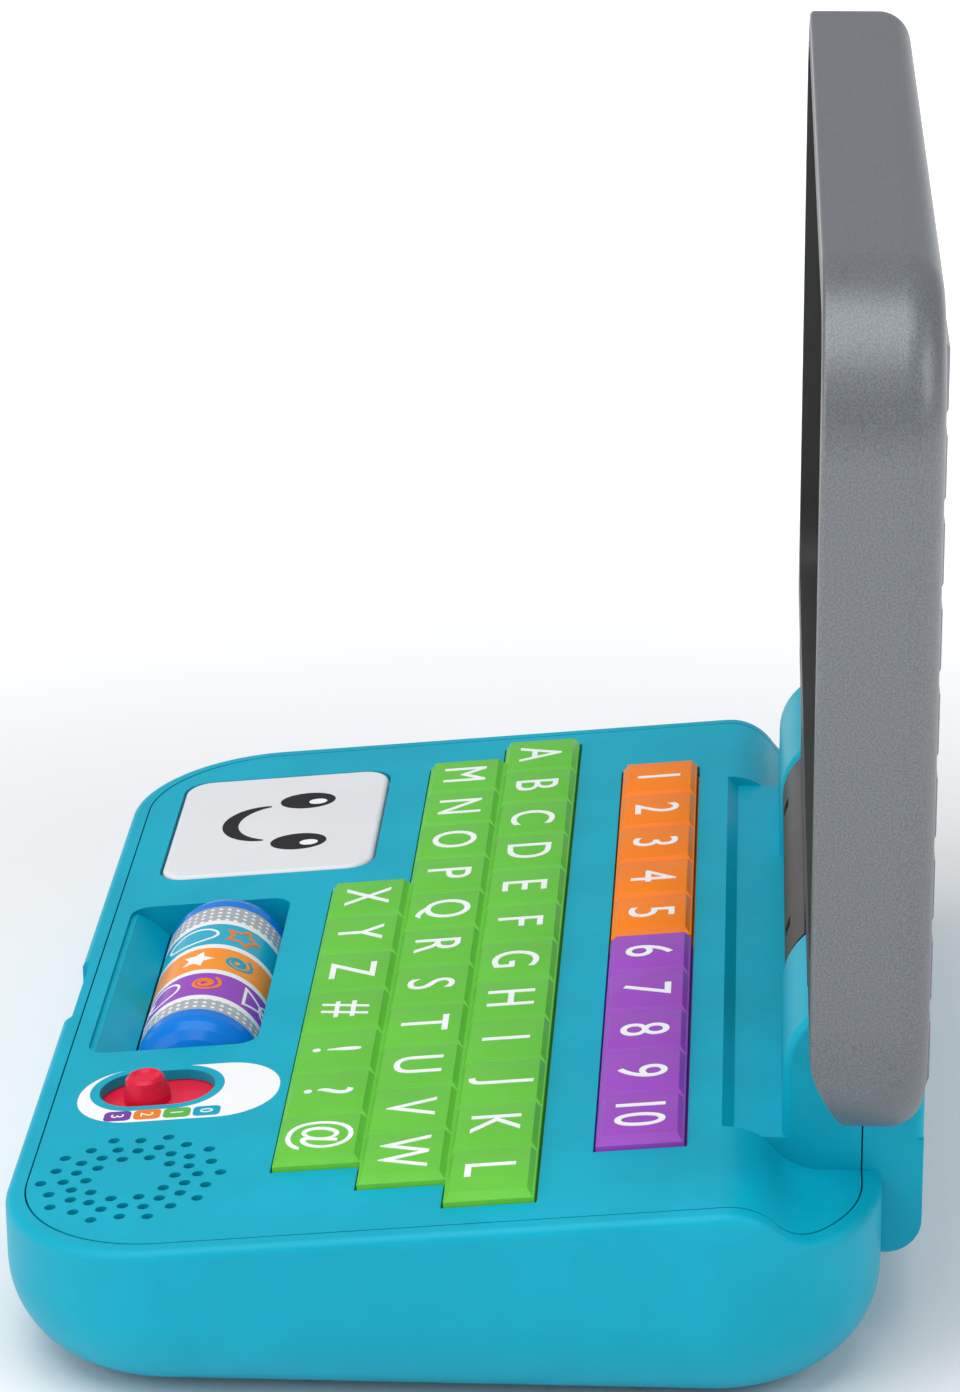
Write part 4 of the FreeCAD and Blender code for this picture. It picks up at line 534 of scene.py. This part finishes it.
# each row from the front: how many keys it is set in, and its characters
letterRows = ((4, "XYZ#!?@"), (0.5, "MNOPQRSTUVW"), (0, "ABCDEFGHIJKL"))
lettersLow = deckBox("letter_keypad")[0]
printGlyphs("letter_prints", letterRows, "letter_keypad", "letters",
            lettersLow.x + glyphs["flange"], lettersLow.y + glyphs["flange"], glyphs["pitch"])
numberRows = (
    ("low_number_prints", ("1", "2", "3", "4", "5"), "number_plate_low", "numbers_low", "orange_keys"),
    ("high_number_prints", ("6", "7", "8", "9", "10"), "number_plate_high", "numbers_high", "purple_keys"),
)
for name, numbers, node, body, slot in numberRows:
    low, high = deckBox(node)
    printGlyphs(name, ((0, numbers),), node, body, low.x, (low.y + high.y - glyphs["row"]) / 2,
                glyphs["numberPitch"])
print("characters printed")


# flat printed shapes, made at the origin in X and Y
def flatShape(points, radius, squash=1.0, inner=1.0):
    bm = bmesh.new()
    ring = bmesh.ops.create_circle(bm, cap_ends=True, segments=points, radius=radius)["verts"]
    if inner < 1:
        bmesh.ops.scale(bm, verts=ring[1::2], vec=(inner, inner, 1))
    bmesh.ops.scale(bm, verts=bm.verts, vec=(1, squash, 1))
    return bm


def outlineOf(bm, width):
    rim = bmesh.ops.inset_region(bm, faces=bm.faces[:], thickness=width, use_boundary=True,
                                  use_even_offset=True)["faces"]
    middle = [f for f in bm.faces if f not in rim]
    bmesh.ops.delete(bm, geom=middle, context="FACES")
    return bm


# a ribbon that winds outwards: one short edge, extruded, turned and grown at each step
def spiral(turns, first, last, width, stepsPerTurn=20):
    bm = bmesh.new()
    steps = int(turns * stepsPerTurn)
    growth = (last / first) ** (1 / steps)
    a = bm.verts.new((first, 0, 0))
    b = bm.verts.new((first + width, 0, 0))
    edge = bm.edges.new((a, b))
    turn = Matrix.Rotation(tau / stepsPerTurn, 3, "Z")
    for _ in range(steps):
        new = bmesh.ops.extrude_edge_only(bm, edges=[edge])["geom"]
        edge = [g for g in new if isinstance(g, bmesh.types.BMEdge)][0]
        for v in edge.verts:
            v.co = turn @ v.co
        inner, outer = sorted(edge.verts, key=lambda v: v.co.length)
        way = inner.co.normalized()
        reach = inner.co.length * growth
        inner.co = way * reach
        outer.co = way * (reach + width)
    return bm


def thicken(bm, low, high):
    bmesh.ops.translate(bm, verts=bm.verts, vec=(0, 0, low))
    grown = bmesh.ops.extrude_face_region(bm, geom=bm.faces[:])
    top = [g for g in grown["geom"] if isinstance(g, bmesh.types.BMVert)]
    bmesh.ops.translate(bm, verts=top, vec=(0, 0, high - low))
    return bm


# the roller's printed shapes: cut across at every step, then bent round the roller
sleeveLow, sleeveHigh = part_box("roller_sleeve")
rollerCentre = (sleeveLow + sleeveHigh) / 2
rollerRadius = (sleeveHigh.z - sleeveLow.z) / 2
shapeSetup = {"step": 0.0012, "low": -0.00003, "high": 0.00007, "repeat": 3}


def bendRound(bm, x, degrees):
    bmesh.ops.translate(bm, verts=bm.verts, vec=(x, 0, 0))
    low = min(v.co.y for v in bm.verts)
    high = max(v.co.y for v in bm.verts)
    slices = int((high - low) / shapeSetup["step"])
    for i in range(1, slices + 1):
        geom = bm.verts[:] + bm.edges[:] + bm.faces[:]
        cutAt = (0, low + i * shapeSetup["step"], 0)
        bmesh.ops.bisect_plane(bm, geom=geom, plane_co=cutAt, plane_no=(0, 1, 0))
    thicken(bm, shapeSetup["low"], shapeSetup["high"])
    for v in bm.verts:
        angle = v.co.y / rollerRadius + radians(degrees)
        reach = rollerRadius + v.co.z
        v.co = rollerCentre + Vector((v.co.x, sin(angle) * reach, cos(angle) * reach))
    return bm


swirl = {"turns": 2.4, "first": 0.0005, "last": 0.0037, "width": 0.0009}

# each shape: its middle's place along the roller, its degrees round it, and what makes it
rollerPrints = {
    "roller_white_shapes": ("inkWhite", (
        (0.0011, -14, lambda: flatShape(10, 0.0042, inner=0.5)),
        (0.0155, -44, lambda: outlineOf(flatShape(24, 0.0044, squash=1.25), 0.0007)),
        (0.0158, 47, lambda: outlineOf(flatShape(3, 0.0056), 0.0008)),
        (-0.0134, -26, lambda: outlineOf(flatShape(24, 0.0042, squash=1.7), 0.0007)),
    )),
    "roller_orange_shapes": ("inkOrange", (
        (-0.0134, 23, lambda: outlineOf(flatShape(10, 0.0052, inner=0.55), 0.0009)),
        (0.0152, -1, lambda: spiral(**swirl)),
    )),
    "roller_teal_shapes": ("inkTeal", (
        (0.0012, 24, lambda: spiral(**swirl)),
    )),
}


def printRoller(prints):
    apart = 360 / shapeSetup["repeat"]
    for name, (ink, shapes) in prints.items():
        whole = bmesh.new()
        for again in range(shapeSetup["repeat"]):
            for x, degrees, make in shapes:
                addTo(whole, bendRound(make(), x, degrees + again * apart), Matrix.Identity(4))
        newPiece(name, whole, ink, "roller", smooth=False)


printRoller(rollerPrints)
print("roller printed")


# a plain smiling face: two oval eyes with a glint, and a crescent for a mouth
smile = {
    "eyeApart": 0.0138,
    "eyeUp": 0.0068,
    "eyeRadius": 0.0052,
    "eyeSquash": 1.4,
    "glint": 0.0017,
    "glintSide": 0.0012,
    "glintUp": 0.0028,
    "mouthRadius": 0.0118,
    "mouthDown": 0.0016,
    "mouthWidth": 0.0008,
    "mouthSwell": 0.0032,
    "mouthArc": 136,
    "mouthSteps": 32,
    "proud": 0.00008,
    "tipProud": 0.9,  # the mouth's round ends stand this share as proud as it
    "eyePoints": 40,
    "glintPoints": 24,
    "tipPoints": 16,
}


# an arc below the middle whose outer side swells towards its lowest point
def crescent(p):
    bm = bmesh.new()
    start = radians(-90 - p["mouthArc"] / 2)
    a = bm.verts.new((cos(start) * p["mouthRadius"], sin(start) * p["mouthRadius"], 0))
    b = bm.verts.new(a.co * (1 + p["mouthWidth"] / p["mouthRadius"]))
    edge = bm.edges.new((a, b))
    bmesh.ops.spin(bm, geom=[a, b, edge], cent=(0, 0, 0), axis=(0, 0, 1), steps=p["mouthSteps"],
                   angle=radians(p["mouthArc"]), use_merge=False)
    for v in bm.verts:
        if v.co.length > p["mouthRadius"] + p["mouthWidth"] / 2:
            off = (atan2(v.co.y, v.co.x) + pi / 2) / radians(p["mouthArc"] / 2)
            v.co *= 1 + p["mouthSwell"] * (1 - off * off) / p["mouthRadius"]
    return bm


def printSmile(p):
    low, high = deckBox("face_button")
    x = (low.x + high.x) / 2
    y = (low.y + high.y) / 2
    dark = bmesh.new()
    glints = bmesh.new()
    for side in (-1, 1):
        eye = thicken(flatShape(p["eyePoints"], p["eyeRadius"], p["eyeSquash"]), -p["proud"], p["proud"])
        addTo(dark, eye, onDeck(x + side * p["eyeApart"], y + p["eyeUp"], high.z))
        glint = thicken(flatShape(p["glintPoints"], p["glint"], p["eyeSquash"]), 0, p["proud"] * 2)
        addTo(glints, glint, onDeck(x + side * p["eyeApart"] + p["glintSide"],
                                    y + p["eyeUp"] + p["glintUp"], high.z))
    mouthY = y + p["mouthDown"]
    tipProud = p["proud"] * p["tipProud"]
    for end in (-1, 1):
        tip = radians(-90 + end * p["mouthArc"] / 2)
        reach = p["mouthRadius"] + p["mouthWidth"] / 2
        cap = thicken(flatShape(p["tipPoints"], p["mouthWidth"] / 2), -tipProud, tipProud)
        addTo(dark, cap, onDeck(x + cos(tip) * reach, mouthY + sin(tip) * reach, high.z))
    addTo(dark, thicken(crescent(p), -p["proud"], p["proud"]), onDeck(x, mouthY, high.z))
    newPiece("smile_print", dark, "inkBlack", "face", smooth=False)
    newPiece("smile_glints", glints, "inkWhite", "face", smooth=False)


printSmile(smile)
print("face printed")


# the slider's settings: a rounded badge and a numeral for each, front to back
badges = {
    "inset": 0.0034,  # label's outer edge to a badge's middle
    "first": 0.0105,  # label's front edge to the first badge's middle
    "pitch": 0.0068,
    "halfLong": 0.0031,
    "halfWide": 0.0024,
    "corner": 0.0013,
    "numeral": 0.0031,
    "sink": 0.00005,
    "proud": 0.00006,
    "inkSink": 0.00002,  # numerals start this far above the label, inside their badges
    "inkThick": 0.0001,
    "inks": (("3", "inkPurple"), ("2", "inkOrange"), ("1", "inkGreen"), ("0", "inkTeal")),
}


def printBadges(p):
    low, high = deckBox("slider_label")
    x = high.x - p["inset"]
    numerals = bmesh.new()
    for i, (numeral, ink) in enumerate(p["inks"]):
        y = low.y + p["first"] + i * p["pitch"]
        badge = bmesh.new()
        bmesh.ops.create_grid(badge, x_segments=1, y_segments=1, size=1)
        bmesh.ops.scale(badge, verts=badge.verts, vec=(p["halfWide"], p["halfLong"], 1))
        bmesh.ops.bevel(badge, geom=badge.verts[:], offset=p["corner"], affect="VERTICES", segments=5,
                        profile=0.5, material=-1)
        thicken(badge, -p["sink"], p["proud"])
        bmesh.ops.transform(badge, matrix=onDeck(x, y, high.z), verts=badge.verts)
        newPiece("badge_" + numeral, badge, ink, "base", smooth=False)
        numeralShape = textMesh(numeral, p["numeral"], 1, p["inkThick"])
        addTo(numerals, numeralShape, onDeck(x, y, high.z + p["inkSink"]))
    newPiece("badge_numerals", numerals, "inkWhite", "base", smooth=False)


printBadges(badges)
print("slider label printed")


# studio: a white floor that glows further out, one big soft light above, fills at the sides
studio = {
    "floorHalf": 6,
    "floorColour": (0.88, 0.88, 0.88, 1),
    "floorPatch": (0.9, 0.9, 0.9, 1),
    "floorRough": 0.8,
    "floorGlow": 0.75,
    "glowFrom": 0.2,  # from the middle, where the glow begins and where it is full
    "glowTo": 0.75,
    "world": 0.42,
    "worldColour": (0.93, 0.95, 1, 1),
    "aim": (0, 0, 0.1),
    "lights": (
        ("overhead", (0.35, -0.25, 1.5), 1.4, 17),
        ("userSide", (0.9, -1.1, 0.7), 1.0, 6),
        ("backSide", (0.5, 1.3, 0.9), 0.8, 5),
    ),
}


def makeStudio(s):
    world = bpy.data.worlds.new("studio")
    world.use_nodes = True
    background = world.node_tree.nodes["Background"]
    background.inputs["Color"].default_value = s["worldColour"]
    background.inputs["Strength"].default_value = s["world"]
    bpy.context.scene.world = world
    bm = bmesh.new()
    bmesh.ops.create_grid(bm, x_segments=2, y_segments=2, size=s["floorHalf"])
    mesh = bpy.data.meshes.new("floor")
    bm.to_mesh(mesh)
    bm.free()
    floor = bpy.data.objects.new("floor", mesh)
    bpy.context.scene.collection.objects.link(floor)
    net = Net("floorPaint")
    x, y, _ = net.axes()
    away = net.ramp((x * x + y * y) ** 0.5, s["glowFrom"], s["glowTo"])
    floor.data.materials.append(net.finish({
        "Base Color": net.mix(net.noise(3, 2), s["floorColour"], s["floorPatch"]),
        "Roughness": s["floorRough"],
        "Emission Color": net.mix(away, (0, 0, 0, 1), (1, 1, 1, 1)),
        "Emission Strength": s["floorGlow"],
    }))
    for name, place, size, power in s["lights"]:
        data = bpy.data.lights.new(name, "AREA")
        data.size = size
        data.energy = power
        lamp = bpy.data.objects.new(name, data)
        bpy.context.scene.collection.objects.link(lamp)
        lamp.location = place
        lamp.rotation_euler = (Vector(s["aim"]) - Vector(place)).to_track_quat("-Z", "Y").to_euler()


makeStudio(studio)
print("studio lit")
